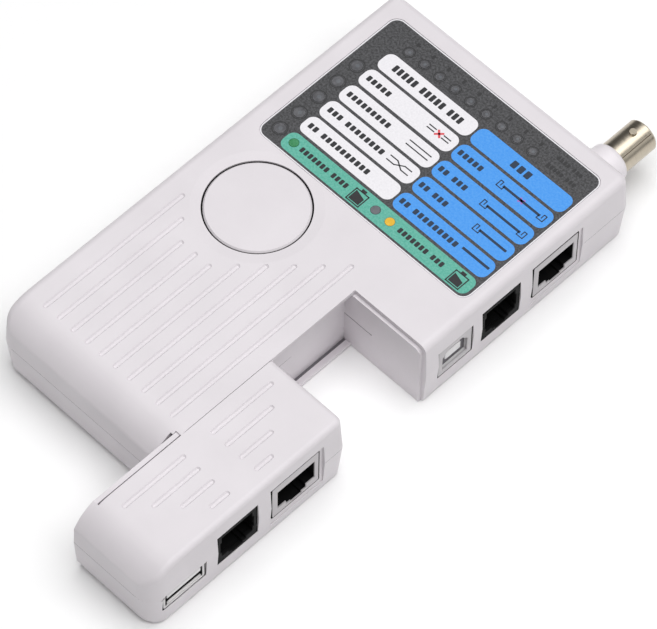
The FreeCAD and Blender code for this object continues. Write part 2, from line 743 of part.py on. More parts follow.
small_screws("board_screws", BOARD_SCREWS, "board_top", True)
small_screws("upper_board_screws", UPPER_SCREWS, "upper_board", False)

# ---------------------------------------------------------------- jacks and USB sockets

JACKS = {
    "lan": {"ways": 8, "latch": "latch_width"},
    "phone": {"ways": 6, "latch": "latch_width - 1.2"},
}


def modular_jack(name, kind, y):
    """Modular jack standing on the board: stepped opening with its latch way at the bottom."""
    ways = JACKS[kind]["ways"]
    latch = JACKS[kind]["latch"]
    low = "board_top"
    block = box(name + "_block", ("socket_face - lan_depth", "socket_face"),
                (f"{y} - {kind}_width / 2", f"{y} + {kind}_width / 2"), (low, f"{low} + {kind}_height"))
    bore = ("socket_face - jack_bore", "socket_face + 1")
    sill = f"{low} + {kind}_sill"
    steps = [
        (f"{kind}_opening", sill, f"{sill} + {kind}_opening_height"),
        (f"{kind}_opening + 2 * lan_shoulder", f"{sill} + 1.4", f"{sill} + {kind}_opening_height - 2.4"),
        (latch, f"{low} + latch_sill", f"{sill} + 1"),
        ("latch_key", f"{low} + latch_key_sill", f"{sill} + 1"),
    ]
    tools = [box(f"{name}_step_{i}", bore, (f"{y} - ({w}) / 2", f"{y} + ({w}) / 2"), (z0, z1))
             for i, (w, z0, z1) in enumerate(steps)]
    keep(cut(name + "_cut", block, *tools), name)
    wires = []
    ceiling = f"{sill} + {kind}_opening_height"
    for i in range(ways):
        wire = doc.addObject("Part::Box", f"{name}_wire_{i}")
        wire.Placement = Placement(Vector(), Rotation(Vector(0, 1, 0), -20))
        bind(wire, "Length", "7.6")
        bind(wire, "Width", "wire")
        bind(wire, "Height", "wire")
        place(wire, "socket_face - jack_bore + 0.2", f"{y} + ({i} - {(ways - 1) / 2}) * 1.02 - wire / 2",
              f"{ceiling} - 3.3")
        wires.append(wire)
    keep(group(name + "_wires", wires), name.replace("_jack", "_contacts"))


def usb_socket(name, kind, y, low, tongue, contact_pitch):
    """Rectangular USB socket: sheet shell, insulating tongue and four contacts.

    tongue is (half width, low, high) above the socket's floor.
    """
    width, height, depth = (f"usb_{kind}_{word}" for word in ("width", "height", "depth"))
    outer = box(name + "_outer", (f"socket_face - {depth}", "socket_face"),
                (f"{y} - {width} / 2", f"{y} + {width} / 2"), (low, f"{low} + {height}"))
    sheet = USB_WALL[kind]
    hollow = box(name + "_hollow", (f"socket_face - {depth} + 1.2", "socket_face + 1"),
                 (f"{y} - {width} / 2 + {sheet}", f"{y} + {width} / 2 - {sheet}"),
                 (f"{low} + {sheet}", f"{low} + {height} - {sheet}"))
    keep(cut(name + "_shell_cut", outer, hollow), name + "_shell")
    half, z0, z1 = tongue
    back = f"socket_face - {depth} + 1.2"
    core = box(name + "_tongue_block", (back, "socket_face - 1.4"), (f"{y} - {half}", f"{y} + {half}"),
               (f"{low} + {z0}", f"{low} + {z1}"))
    keep(core, name + "_tongue")
    strips = []
    for i in range(4):
        middle_y = f"{y} + ({i} - 1.5) * {contact_pitch}"
        strips.append(box(f"{name}_strip_{i}", (back, "socket_face - 2.4"),
                          (f"{middle_y} - 0.5", f"{middle_y} + 0.5"),
                          (f"{low} + {z0} - 0.2", f"{low} + {z0}")))
    keep(group(name + "_strips", strips), name + "_contacts")


USB_WALL = {"b": "1.5", "a": "shell_sheet"}
modular_jack("lan_jack", "lan", "main_lan_y")
modular_jack("phone_jack", "phone", "main_phone_y")
usb_socket("usb_b", "b", "main_usb_y", "board_top", ("2.85", "3.8", "7.0"), 1.4)

# ---------------------------------------------------------------- coax socket

coax_base = ("coax_x", "0", "coax_z")
keep(turned("collar_turned",
            [("barrel_r + 0.06", "67.3"), ("collar_flange", "67.3"), ("collar_flange", "69.0"),
             ("collar_r", "69.0"), ("collar_r", "far_end + 0.6"),
             ("collar_r - 0.35", "collar_front - 1.3"), ("collar_r - 0.65", "collar_front - 0.45"),
             ("collar_r - 1.1", "collar_front"), ("barrel_r + 0.06", "collar_front")], "y", coax_base),
     "coax_collar")
barrel = turned("barrel_turned",
                [("2.5", "61.4"), ("barrel_r - 0.4", "61.4"), ("barrel_r", "61.8"),
                 ("barrel_r", "barrel_front - 0.4"), ("barrel_r - 0.3", "barrel_front"),
                 ("4.05", "barrel_front"), ("4.05", "80.5"), ("2.5", "80.5")], "y", coax_base)
lugs = [cylinder("lug_up", "lug_r", "lug_reach - 4.3", ("coax_x", "lug_y", "coax_z + 4.3")),
        cylinder("lug_down", "lug_r", "lug_reach - 4.3", ("coax_x", "lug_y", "coax_z - lug_reach"))]
keep(fuse("barrel_with_lugs", barrel, *lugs), "coax_barrel")
keep(turned("insulator_turned", [("1.02", "61.6"), ("2.45", "61.6"), ("2.45", "88.4"), ("1.02", "88.4")],
            "y", coax_base), "coax_insulator")
keep(turned("pin_turned", [("0", "61.5"), ("0.97", "61.5"), ("0.97", "87.4"), ("0.55", "87.4"),
                           ("0.55", "83"), ("0", "83")], "y", coax_base), "coax_pin")
keep(box("coax_block", ("coax_x - 3.8", "coax_x + 3.8"), ("53.6", "61.35"), ("board_top", "coax_z + 4.2")),
     "coax_base")

# ---------------------------------------------------------------- battery and its leads

battery_far = "battery_near + battery_length"
battery_mid = ("battery_left + battery_width / 2", "battery_low + battery_height / 2")
battery_block = box("battery_block", ("battery_left", "battery_left + battery_width"),
                    ("battery_near", battery_far), ("battery_low", battery_top))
keep(fillet("battery_round", battery_block, "battery_edge_round", lambda e: e.BoundBox.YLength > 20),
     "battery")
studs = []
for i, (side, radius) in enumerate((("-", "2.9"), ("+", "3.5"))):
    studs.append(cylinder(f"stud_{i}", radius, "2.2",
                          (f"{battery_mid[0]} {side} 6.35", battery_far, battery_mid[1]), "y"))
keep(group("stud_pair", studs), "battery_terminals")
keep(box("snap_block", ("battery_left + 2", "battery_left + battery_width - 2"),
         (f"{battery_far} + 2.25", f"{battery_far} + 5.2"),
         (f"{battery_mid[1]} - 5.6", f"{battery_mid[1]} + 5.6")),
     "battery_snap")
leads = []
for i, side in enumerate("-+"):
    x = f"{battery_mid[0]} {side} 3.2"
    run = cylinder(f"lead_run_{i}", "0.6", "15.4", (x, f"{battery_far} + 5.2", "8.6"), "y")
    drop = cylinder(f"lead_drop_{i}", "0.6", "8.6 - board_top", (x, f"{battery_far} + 20.6", "board_top"))
    elbow = doc.addObject("Part::Sphere", f"lead_elbow_{i}")
    bind(elbow, "Radius", "0.6 + 0")
    place(elbow, x, f"{battery_far} + 20.6", "8.6")
    leads.append(fuse(f"lead_{i}", run, drop, elbow))
keep(group("lead_pair", leads), "battery_leads")

# ---------------------------------------------------------------- remote unit

REMOTE_SIDES = ("remote_block", "remote_outer", "remote_near", "remote_far")
REMOTE_CORNERS = [
    (lambda p: p.y < -80 and p.x > 30, "near_corner"),
    (lambda p: p.y > -80 and p.x > 30, "remote_far_corner"),
]
REMOTE_SOCKETS = [
    ("remote_lan_y", "lan_width", "lan_height", "board_top"),
    ("remote_phone_y", "phone_width", "phone_height", "board_top"),
    ("remote_usb_y", "usb_a_width", "usb_a_height", "board_top + usb_a_low"),
]
remote_top_outer, remote_base_outer = shell_pair("remote", REMOTE_SIDES, (0, 1, 1, 1), "remote_near",
                                                 REMOTE_CORNERS, "remote_round", lambda p: p.x < 16)
REMOTE_ROOM = ("remote_inner + wall", "remote_outer - wall - 0.1", "remote_far - wall - 0.3")


def remote_tools(name):
    """What both remote shells lose: the step beside the rail, the sockets and the jack recess."""
    tools = socket_cutouts(name + "_cutout", "remote_outer", REMOTE_SOCKETS)
    tools.append(box(name + "_step", ("0", "remote_inner"), ("remote_block_end", "0"), ("-1", "30")))
    tools.append(box(name + "_lan_recess", ("frame_recess_x", "60"),
                     ("remote_lan_y - lan_width / 2 - 0.8",
                      "remote_lan_y + lan_width / 2 + frame_recess_side"),
                     ("frame_recess_low", "board_top + lan_height + 0.7")))
    return tools


remote_top_tools = remote_tools("remote_top")
for i, groups in enumerate(zip(REMOTE_GROOVES_FAR, REMOTE_GROOVES_NEAR)):
    for j, (y_low, y_high) in enumerate(groups):
        remote_top_tools += groove(f"remote_groove_{i}_{j}", f"remote_groove_x + {i} * remote_groove_pitch",
                                   str(y_low), str(y_high), "case_height")
remote_posts = []
for i, (x, y) in enumerate(REMOTE_SCREW_PLACES):
    remote_posts.append(cylinder(f"remote_post_{i}", "boss_r", "case_height - 1.6 - parting_height",
                                 (x, y, "parting_height")))
    remote_top_tools.append(cylinder(f"remote_pilot_{i}", "screw_r + 0.02", "9.5",
                                     (x, y, "parting_height - 1")))
remote_top_hollow = cut("remote_top_hollow", remote_top_outer,
                        cavity("remote_top_cavity", REMOTE_ROOM, "remote_near + 3.6", "remote_near + 6.7",
                               "-1", "case_height - wall", "case_height - 4.5"))
keep(cut("remote_top", fuse("remote_top_joined", remote_top_hollow, *remote_posts), *remote_top_tools),
     "remote_top_shell")

remote_bosses = [cylinder(f"remote_boss_{i}", "boss_r + 0.4", "parting_height - 1.1", (x, y, "1"))
                 for i, (x, y) in enumerate(REMOTE_SCREW_PLACES)]
remote_pads = [box(f"remote_pad_{i}", ("remote_inner + wall - 1", "remote_outer - wall"),
                   (f"{y} - 1", f"{y} + 1"), ("1", "board_top - board_thickness"))
               for i, y in enumerate(("remote_near + 10", "remote_far - 8"))]
remote_base_hollow = cut("remote_base_hollow", remote_base_outer,
                         cavity("remote_base_cavity", REMOTE_ROOM, "remote_near + 3.2", "remote_near + 3.2",
                                "wall", "20", "20"))
keep(cut("remote_base", fuse("remote_base_joined", remote_base_hollow, *remote_bosses, *remote_pads),
         *remote_tools("remote_base"), *screw_seats("remote_screw", REMOTE_SCREW_PLACES)),
     "remote_bottom_shell")

rail_plate = box("rail_plate", ("rail_left", "rail_left + rail_thickness"),
                 ("remote_block_end + 0.1", "rail_far"), ("rail_low", "rail_high"))
rail_web = box("rail_web", ("rail_left", "remote_inner"), ("remote_block_end + 0.1", "rail_far - 0.6"),
               ("web_low", "web_high"))
keep(fuse("rail_solid", rail_plate, rail_web), "remote_rail")

remote_board_body = new_body("remote_board_body")
pad(remote_board_body,
    outline(remote_board_body, "remote_board_outline", "XY_Plane",
            rectangle(("remote_inner + wall + 0.6", "board_right"),
                      ("remote_near + 4.6", "remote_far - 3.2")),
            "board_top - board_thickness"), "board_thickness")
keep(cut("remote_board_cut", remote_board_body,
         *[cylinder(f"remote_board_notch_{i}", "boss_r + 0.7", "6", (x, y, "board_top - 4"))
           for i, (x, y) in enumerate(REMOTE_SCREW_PLACES)]), "remote_board")
modular_jack("remote_lan_jack", "lan", "remote_lan_y")
modular_jack("remote_phone_jack", "phone", "remote_phone_y")
usb_socket("remote_usb", "a", "remote_usb_y", "board_top + usb_a_low", ("5.55", "2.9", "4.8"), 2.3)
keep(group("diode_group", [box(f"diode_{i}", ("21", "24.4"), (f"-84 + {i} * 4.4", f"-82.3 + {i} * 4.4"),
                               ("board_top", "board_top + 1.4")) for i in range(9)]), "remote_diodes")
screws("remote_screws", REMOTE_SCREW_PLACES, "screw_r", "screw_head_r", "screw_seat", "screw_length",
       "screw_head")

# ---------------------------------------------------------------- write one file per piece

doc.recompute()
for item in doc.Objects:
    if "Invalid" in item.State or "Error" in item.State:
        raise RuntimeError(f"{item.Label} did not compute: {item.State}")
os.makedirs("parts", exist_ok=True)
for piece in pieces:
    if piece.Shape.isNull() or not piece.Shape.isValid():
        raise RuntimeError(f"{piece.Label} has no valid shape")
    piece.Shape.exportStep(f"parts/{piece.Label}.step")
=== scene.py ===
"""Looks of a hand-held network cable tester: main unit, docking bay and sliding remote.

Sizes are written in millimetres and turned to metres where a mesh is made.  The frame is
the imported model's: Z up through the label, Y towards the coax socket, X towards the side
sockets.
"""

import json
import logging
import math
from dataclasses import dataclass, field
from enum import Enum
from typing import Optional, Sequence

import bmesh
import bpy
from mathutils import Matrix, Vector

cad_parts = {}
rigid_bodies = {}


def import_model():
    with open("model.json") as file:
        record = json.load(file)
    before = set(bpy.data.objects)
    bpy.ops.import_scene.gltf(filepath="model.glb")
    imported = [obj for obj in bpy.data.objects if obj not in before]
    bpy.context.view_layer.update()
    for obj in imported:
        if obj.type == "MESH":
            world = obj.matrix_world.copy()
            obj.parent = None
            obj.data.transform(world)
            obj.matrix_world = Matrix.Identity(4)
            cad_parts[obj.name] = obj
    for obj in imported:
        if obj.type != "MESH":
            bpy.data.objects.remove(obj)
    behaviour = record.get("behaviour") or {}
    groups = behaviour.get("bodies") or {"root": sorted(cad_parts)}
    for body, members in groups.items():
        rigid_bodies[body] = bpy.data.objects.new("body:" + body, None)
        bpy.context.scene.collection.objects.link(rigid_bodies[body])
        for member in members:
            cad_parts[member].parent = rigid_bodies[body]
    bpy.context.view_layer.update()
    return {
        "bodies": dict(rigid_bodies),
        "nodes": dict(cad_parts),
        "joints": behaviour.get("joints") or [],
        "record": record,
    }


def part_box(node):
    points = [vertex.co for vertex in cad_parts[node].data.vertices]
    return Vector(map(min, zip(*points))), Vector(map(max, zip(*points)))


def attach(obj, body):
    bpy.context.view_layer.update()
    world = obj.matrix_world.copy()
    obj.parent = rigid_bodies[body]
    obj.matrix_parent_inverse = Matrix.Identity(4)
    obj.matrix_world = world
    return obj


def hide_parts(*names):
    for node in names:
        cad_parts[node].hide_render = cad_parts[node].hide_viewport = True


LOG = logging.getLogger("cable_tester")
MM = 0.001
Point = tuple[float, float]
Spot = tuple[float, float, float]
Outline = list[Point]


class Body(str, Enum):
    """The bodies that carry the pieces made here; the button and the door keep their CAD nodes."""

    MAIN = "main"
    REMOTE = "remote"


class Facing(Enum):
    """Which way a flat plate looks: the world axes of its own x, y and thickness."""

    UP = (0, 1, 2)
    SIDE = (1, 2, 0)


# ---------------------------------------------------------------- finishes


def linear(code: str) -> tuple[float, float, float, float]:
    """Turn an sRGB hex code into a linear colour.

    Args:
        code: Six hex digits, without a hash sign.

    Returns:
        Linear red, green, blue and an alpha of one.
    """
    parts = [int(code[i:i + 2], 16) / 255 for i in (0, 2, 4)]
    red, green, blue = (c / 12.92 if c <= 0.04045 else ((c + 0.055) / 1.055) ** 2.4 for c in parts)
    return (red, green, blue, 1.0)


def per_metre(size_mm: float) -> float:
    """Texture scale whose features are about this many millimetres across."""
    return 1000.0 / size_mm


def add_node(tree: bpy.types.NodeTree, kind: str, settings: Optional[dict] = None,
             **links: bpy.types.NodeSocket) -> bpy.types.Node:
    """Add one shader node, set it and link its inputs.

    Args:
        tree: The material's node tree.
        kind: Blender's node type name.
        settings: Attributes of the node, or input names with a constant each.
        links: Input name (underscores for spaces), or n and its number, to the output
            socket that feeds it.

    Returns:
        The new node.
    """
    node = tree.nodes.new(kind)
    for key, value in (settings or {}).items():
        if key in node.inputs:
            node.inputs[key].default_value = value
        else:
            setattr(node, key, value)
    for key, socket in links.items():
        numbered = key[0] == "n" and key[1:].isdigit()
        tree.links.new(socket, node.inputs[int(key[1:]) if numbered else key.replace("_", " ")])
    return node


def blank(name: str) -> tuple[bpy.types.Material, bpy.types.NodeTree, bpy.types.Node,
                             bpy.types.NodeSocket]:
    """Start a material.

    Args:
        name: The real finish's name.

    Returns:
        The material, its tree, its Principled node and the object coordinates.
    """
    material = bpy.data.materials.new(name)
    material.use_nodes = True
    tree = material.node_tree
    tree.nodes.clear()
    shader = add_node(tree, "ShaderNodeBsdfPrincipled")
    add_node(tree, "ShaderNodeOutputMaterial", None, Surface=shader.outputs["BSDF"])
    place = add_node(tree, "ShaderNodeTexCoord").outputs["Object"]
    return material, tree, shader, place


@dataclass(frozen=True)
class Moulded:
    """Injection-moulded plastic: two close tones, spark-eroded grain and an even satin gloss."""

    name: str
    tone: str
    shade: str
    roughness: float = 0.42
    grain_mm: float = 0.35
    bump_mm: float = 0.012
    mottle_mm: float = 14.0
    specular: float = 0.5

    def build(self) -> bpy.types.Material:
        """Make the material.

        Returns:
            The material.
        """
        material, tree, shader, place = blank(self.name)
        # Slow drift between the two tones, as thick and thin walls cool differently
        drift = add_node(tree, "ShaderNodeTexNoise",
                         {"Scale": per_metre(self.mottle_mm), "Detail": 3.0}, Vector=place)
        tones = add_node(tree, "ShaderNodeValToRGB", None, Fac=drift.outputs["Fac"])
        for stop, position, colour in zip(tones.color_ramp.elements, (0.3, 0.7), (self.shade, self.tone)):
            stop.position, stop.color = position, linear(colour)
        tree.links.new(tones.outputs["Color"], shader.inputs["Base Color"])
        # Grain of the eroded tool; real grit is about 0.05 mm, drawn coarser so that it shows
        grain = add_node(tree, "ShaderNodeTexNoise",
                         {"Scale": per_metre(self.grain_mm), "Detail": 2.0}, Vector=place)
        gloss = add_node(tree, "ShaderNodeMapRange",
                         {"To Min": self.roughness - 0.05, "To Max": self.roughness + 0.07},
                         Value=grain.outputs["Fac"])
        tree.links.new(gloss.outputs["Result"], shader.inputs["Roughness"])
        bump = add_node(tree, "ShaderNodeBump", {"Strength": 0.35, "Distance": self.bump_mm * MM},
                        Height=grain.outputs["Fac"])
        tree.links.new(bump.outputs["Normal"], shader.inputs["Normal"])
        shader.inputs["IOR"].default_value = 1.53
        shader.inputs["Specular IOR Level"].default_value = self.specular
        return material


@dataclass(frozen=True)
class PrintedFilm:
    """Screen-printed polycarbonate film: an ink tone broken by fine velvet grain."""

    name: str
    tone: str
    speck: str
    roughness: float = 0.55
    grain_mm: float = 0.45
    contrast: float = 0.35

    def build(self) -> bpy.types.Material:
        """Make the material.

        Returns:
            The material.
        """
        material, tree, shader, place = blank(self.name)
        # Velvet texture of the film, about 0.2 mm in life, drawn two to three times as coarse to show
        grain = add_node(tree, "ShaderNodeTexNoise",
                         {"Scale": per_metre(self.grain_mm), "Detail": 4.0, "Roughness": 0.7}, Vector=place)
        spots = add_node(tree, "ShaderNodeMapRange",
                         {"From Min": 0.38, "From Max": 0.64, "To Min": 0.0, "To Max": self.contrast},
                         Value=grain.outputs["Fac"])
        mix = add_node(tree, "ShaderNodeMix", {"data_type": "RGBA"}, n0=spots.outputs["Result"])
        mix.inputs[6].default_value, mix.inputs[7].default_value = linear(self.tone), linear(self.speck)
        tree.links.new(mix.outputs[2], shader.inputs["Base Color"])
        bump = add_node(tree, "ShaderNodeBump", {"Strength": 0.5, "Distance": 0.01 * MM},
                        Height=grain.outputs["Fac"])
        tree.links.new(bump.outputs["Normal"], shader.inputs["Normal"])
        gloss = add_node(tree, "ShaderNodeMapRange",
                         {"To Min": self.roughness - 0.1, "To Max": self.roughness + 0.1},
                         Value=grain.outputs["Fac"])
        tree.links.new(gloss.outputs["Result"], shader.inputs["Roughness"])
        shader.inputs["IOR"].default_value = 1.5
        return material


@dataclass(frozen=True)
class TintedResin:
    """Clear epoxy of a lamp, cast in a tint: a glossy dome over a cloudy core."""

    name: str
    tone: str
    core: str
    cloud_mm: float = 1.2
    coat: float = 0.5

    def build(self) -> bpy.types.Material:
        """Make the material.

        Returns:
            The material.
        """
        material, tree, shader, place = blank(self.name)
        # Filler clouds the cast resin in patches about this wide
        cloud = add_node(tree, "ShaderNodeTexNoise", {"Scale": per_metre(self.cloud_mm), "Detail": 2.0},
                         Vector=place)
        mix = add_node(tree, "ShaderNodeMix", {"data_type": "RGBA"}, n0=cloud.outputs["Fac"])
        mix.inputs[6].default_value, mix.inputs[7].default_value = linear(self.tone), linear(self.core)
        tree.links.new(mix.outputs[2], shader.inputs["Base Color"])
        haze = add_node(tree, "ShaderNodeMapRange", {"To Min": 0.12, "To Max": 0.3},
                        Value=cloud.outputs["Fac"])
        tree.links.new(haze.outputs["Result"], shader.inputs["Roughness"])
        shader.inputs["IOR"].default_value = 1.54
        shader.inputs["Coat Weight"].default_value = self.coat
        return material


class Lay(Enum):
    """How a metal surface was worked: turned about the Y axis, or pressed sheet."""

    TURNED = (1.0, 40.0, 1.0)
    PRESSED = (8.0, 1.0, 1.0)


@dataclass(frozen=True)
class Plated:
    """Plated metal with the fine marks of turning or pressing under the plating."""

    name: str
    tone: str
    shade: str
    roughness: float
    lay: Lay
    mark_mm: float = 6.0

    def build(self) -> bpy.types.Material:
        """Make the material.

        Returns:
            The material.
        """
        material, tree, shader, place = blank(self.name)
        stretch = add_node(tree, "ShaderNodeMapping", {"Scale": self.lay.value}, Vector=place)
        marks = add_node(tree, "ShaderNodeTexNoise", {"Scale": per_metre(self.mark_mm), "Detail": 4.0},
                         Vector=stretch.outputs["Vector"])
        mix = add_node(tree, "ShaderNodeMix", {"data_type": "RGBA"}, n0=marks.outputs["Fac"])
        mix.inputs[6].default_value, mix.inputs[7].default_value = linear(self.shade), linear(self.tone)
        tree.links.new(mix.outputs[2], shader.inputs["Base Color"])
        gloss = add_node(tree, "ShaderNodeMapRange",
                         {"To Min": self.roughness * 0.7, "To Max": self.roughness * 1.4},
                         Value=marks.outputs["Fac"])
        tree.links.new(gloss.outputs["Result"], shader.inputs["Roughness"])
        bump = add_node(tree, "ShaderNodeBump", {"Strength": 0.25, "Distance": 0.01 * MM},
                        Height=marks.outputs["Fac"])
        tree.links.new(bump.outputs["Normal"], shader.inputs["Normal"])
        shader.inputs["Metallic"].default_value = 1.0
        return material


@dataclass(frozen=True)
class Laminate:
    """Glass-fibre board under solder mask, with the cloth's weave faintly showing."""

    name: str
    tone: str
    shade: str
    thread_mm: float = 0.5

    def build(self) -> bpy.types.Material:
        """Make the material.

        Returns:
            The material.
        """
        material, tree, shader, place = blank(self.name)
        # Warp and weft of the cloth
        weave = add_node(tree, "ShaderNodeTexChecker", {"Scale": per_metre(self.thread_mm)}, Vector=place)
        weave.inputs["Color1"].default_value, weave.inputs["Color2"].default_value = (
            linear(self.tone), linear(self.shade))
        tree.links.new(weave.outputs["Color"], shader.inputs["Base Color"])
        shader.inputs["Roughness"].default_value = 0.35
        shader.inputs["Coat Weight"].default_value = 0.3
        return material


FINISHES = {
    # Spark-eroded ABS, off-white with a hint of mauve: an even satin with no clear reflections
    "case": Moulded("moulded_abs_off_white", "DFDADE", "DAD5D9", 0.42, 0.5, 0.004, specular=0.4),
    # The same ABS seen down a parting gap: grey, and dull because little light comes back out
    "case_line": Moulded("shaded_parting_gap", "9A9699", "8D898C", 0.7),
    # A gap with no light in it: near black and without a sheen
    "case_dark": Moulded("unlit_gap", "161516", "0E0E0E", 0.9, specular=0.1),
    # Glass-filled PBT: glass dulls its skin a little; grey frames, black wells, white housings
    "jack_grey": Moulded("moulded_pbt_light_grey", "C6C2C5", "BEBABD", 0.45, 0.3, 0.008),
    "jack_black": Moulded("moulded_pbt_black", "0E0E0F", "080809", 0.6, 0.3, 0.008, specular=0.12),
    "usb_white": Moulded("moulded_pbt_white", "ECEAEB", "E2E0E1", 0.35, 0.3, 0.006),
    "usb_shadow": Moulded("moulded_pbt_in_shade", "6A676C", "605D62", 0.7),
    # Turned PTFE: waxy warm white
    "insulator": Moulded("turned_ptfe_white", "EFECE6", "E4E0D8", 0.5),
    # Nylon ring: whiter than the case and a touch glossier
    "collar": Moulded("moulded_nylon_white", "E6E1E5", "DFDADE", 0.4, 0.5, 0.004),
    # Velvet polycarbonate film: charcoal that sparkles with fine grey specks
    "overlay": PrintedFilm("printed_film_charcoal", "272729", "828286", 0.55, 0.6, 0.36),
    # Screen inks on that film: flat colours, their edges crisp, the film's specks showing through
    "ink_white": PrintedFilm("printed_ink_white", "EDEBEF", "D2D0D5", 0.5, 0.6, 0.36),
    "ink_blue": PrintedFilm("printed_ink_blue", "3590E8", "70B6F2", 0.5, 0.6, 0.36),
    "ink_teal": PrintedFilm("printed_ink_teal", "4AA692", "8BCDBE", 0.5, 0.6, 0.4),
    "ink_black": PrintedFilm("printed_ink_black", "141518", "303138", 0.5, 0.5, 0.4),
    "ink_navy": PrintedFilm("printed_ink_navy", "12283F", "1E3B5E", 0.5, 0.5, 0.4),
    "ink_faint": PrintedFilm("printed_ink_faint", "252527", "333335", 0.5, 0.5, 0.4),
    "ink_red": PrintedFilm("printed_ink_red", "D8404A", "E4707A", 0.45, 0.5, 0.4),
    "ink_pink": PrintedFilm("printed_ink_mauve", "9A6BC0", "B486D0", 0.45, 0.5, 0.4),
    # Tinted epoxy of the lamps, unlit: glassy skin over a cloudy core
    "lamp_tint": TintedResin("epoxy_smoked", "424245", "707074"),
    "lamp_green": TintedResin("epoxy_green", "2E7A46", "48996A"),
    "lamp_grey": TintedResin("epoxy_grey", "5A5D62", "73767B"),
    "lamp_yellow": TintedResin("epoxy_yellow", "E0A81C", "EEC548"),
    # Nickel over turned brass: warm grey, bright bands along the barrel
    "nickel": Plated("turned_brass_nickel_plated", "CFC6B6", "AEA493", 0.3, Lay.TURNED, 12.0),
    # Dark brown line along the barrel
    "line_brown": Plated("brown_line_on_nickel", "5E5344", "463D31", 0.5, Lay.TURNED),
    # Tin on pressed steel: pale and streaked along the sheet
    "steel": Plated("pressed_steel_tin_plated", "DAD8D8", "B4B2B3", 0.3, Lay.PRESSED),
    # Zinc on steel: blue-grey and slightly dull
    "screw": Plated("zinc_plated_steel", "A5A6A8", "83858A", 0.35, Lay.TURNED),
    # Gold flash on bronze springs: warm yellow and bright
    "gold": Plated("gold_flashed_bronze", "D9B257", "B98D38", 0.25, Lay.PRESSED),
    # Solder mask over glass cloth: glossy green with a faint weave
    "board": Laminate("glass_epoxy_green", "1F5C38", "236640"),
    # Varnished print on the battery's jacket: slate blue
    "battery": Moulded("printed_steel_jacket", "3A4864", "333F58", 0.35),
    # Soft PVC cover of a lead: matt red
    "lead": Moulded("flexible_pvc_red", "A5231E", "94201B", 0.5),
}


class Palette:
    """Builds each finish once, when it is first asked for."""

    def __init__(self) -> None:
        """Start with nothing built."""
        self._made: dict[str, bpy.types.Material] = {}

    def __getitem__(self, key: str) -> bpy.types.Material:
        """Fetch a finish.

        Args:
            key: Its key in FINISHES.

        Returns:
            The material.
        """
        if key not in self._made:
            self._made[key] = FINISHES[key].build()
        return self._made[key]


# ---------------------------------------------------------------- mesh making


def rounded_rect(x: Point, y: Point, radius: float, steps: int = 6) -> Outline:
    """Outline of a rectangle with round corners.

    Args:
        x: Low and high x.
        y: Low and high y.
        radius: Corner radius.
        steps: Segments in each corner.

    Returns:
        The outline, anticlockwise.
    """
    corners = ((x[1] - radius, y[0] + radius, -90), (x[1] - radius, y[1] - radius, 0),
               (x[0] + radius, y[1] - radius, 90), (x[0] + radius, y[0] + radius, 180))
    turns = [(cx, cy, math.radians(start + 90 * i / steps))
             for cx, cy, start in corners for i in range(steps + 1)]
    return [(cx + radius * math.cos(a), cy + radius * math.sin(a)) for cx, cy, a in turns]


def bar(a: Point, b: Point, width: float) -> Outline:
    """Outline of a straight bar with square ends.

    Args:
        a: Middle of one end.
        b: Middle of the other end.
        width: The bar's width.

    Returns:
        Its four corners.
    """
    across = Vector((a[1] - b[1], b[0] - a[0])).normalized() * width / 2
    return [(a[0] - across.x, a[1] - across.y), (b[0] - across.x, b[1] - across.y),
            (b[0] + across.x, b[1] + across.y), (a[0] + across.x, a[1] + across.y)]


def circle(cx: float, cy: float, radius: float, steps: int = 48) -> Outline:
    """Outline of a circle."""
    turns = [2 * math.pi * i / steps for i in range(steps)]
    return [(cx + radius * math.cos(turn), cy + radius * math.sin(turn)) for turn in turns]


def smooth(mesh: bpy.types.Mesh, angle: float = 32.0) -> None:
    """Shade a mesh smooth, with edges sharper than the angle kept crisp."""
    mesh.shade_smooth()
    mesh.set_sharp_from_angle(angle=math.radians(angle))


def link(name: str, mesh: bpy.types.Mesh) -> bpy.types.Object:
    """Put a mesh into the scene as an object at the origin.

    Args:
        name: The object's name.
        mesh: Its mesh, in metres.

    Returns:
        The object.
    """
    piece = bpy.data.objects.new(name, mesh)
    bpy.context.scene.collection.objects.link(piece)
    return piece


def turn_to(facing: Facing) -> Matrix:
    """Work out how a plate's own axes lie in the world.

    Args:
        facing: Which way the plate looks.

    Returns:
        The matrix, which also turns millimetres to metres.
    """
    matrix = Matrix.Diagonal((0, 0, 0, 1))
    for column, axis in enumerate(facing.value):
        matrix[axis][column] = MM
    return matrix


def plate_mesh(outlines: Sequence[Outline], low: float, high: float, facing: Facing,
               bevel: float = 0.0) -> bpy.types.Mesh:
    """Flat plate with any holes, from nested outlines.

    Args:
        outlines: Closed outlines; one inside another is a hole.
        low: Where the plate starts along its normal.
        high: Where it ends.
        facing: Which way it looks.
        bevel: Rounding of its edges, inside the outline.

    Returns:
        The mesh, in metres.
    """
    curve = bpy.data.curves.new("plate_lines", "CURVE")
    curve.dimensions, curve.fill_mode = "2D", "BOTH"
    curve.extrude = (high - low) / 2 - bevel
    curve.bevel_depth, curve.bevel_resolution, curve.offset = bevel, 2, -bevel
    for points in outlines:
        spline = curve.splines.new("POLY")
        spline.points.add(len(points) - 1)
        spline.points.foreach_set("co", [c for x, y in points for c in (x, y, 0.0, 1.0)])
        spline.use_cyclic_u = True
    holder = bpy.data.objects.new("plate_lines", curve)
    mesh = bpy.data.meshes.new_from_object(holder)
    bpy.data.objects.remove(holder)
    bpy.data.curves.remove(curve)
    mesh.transform(turn_to(facing) @ Matrix.Translation((0, 0, (low + high) / 2)))
    mesh.materials.clear()
    return mesh


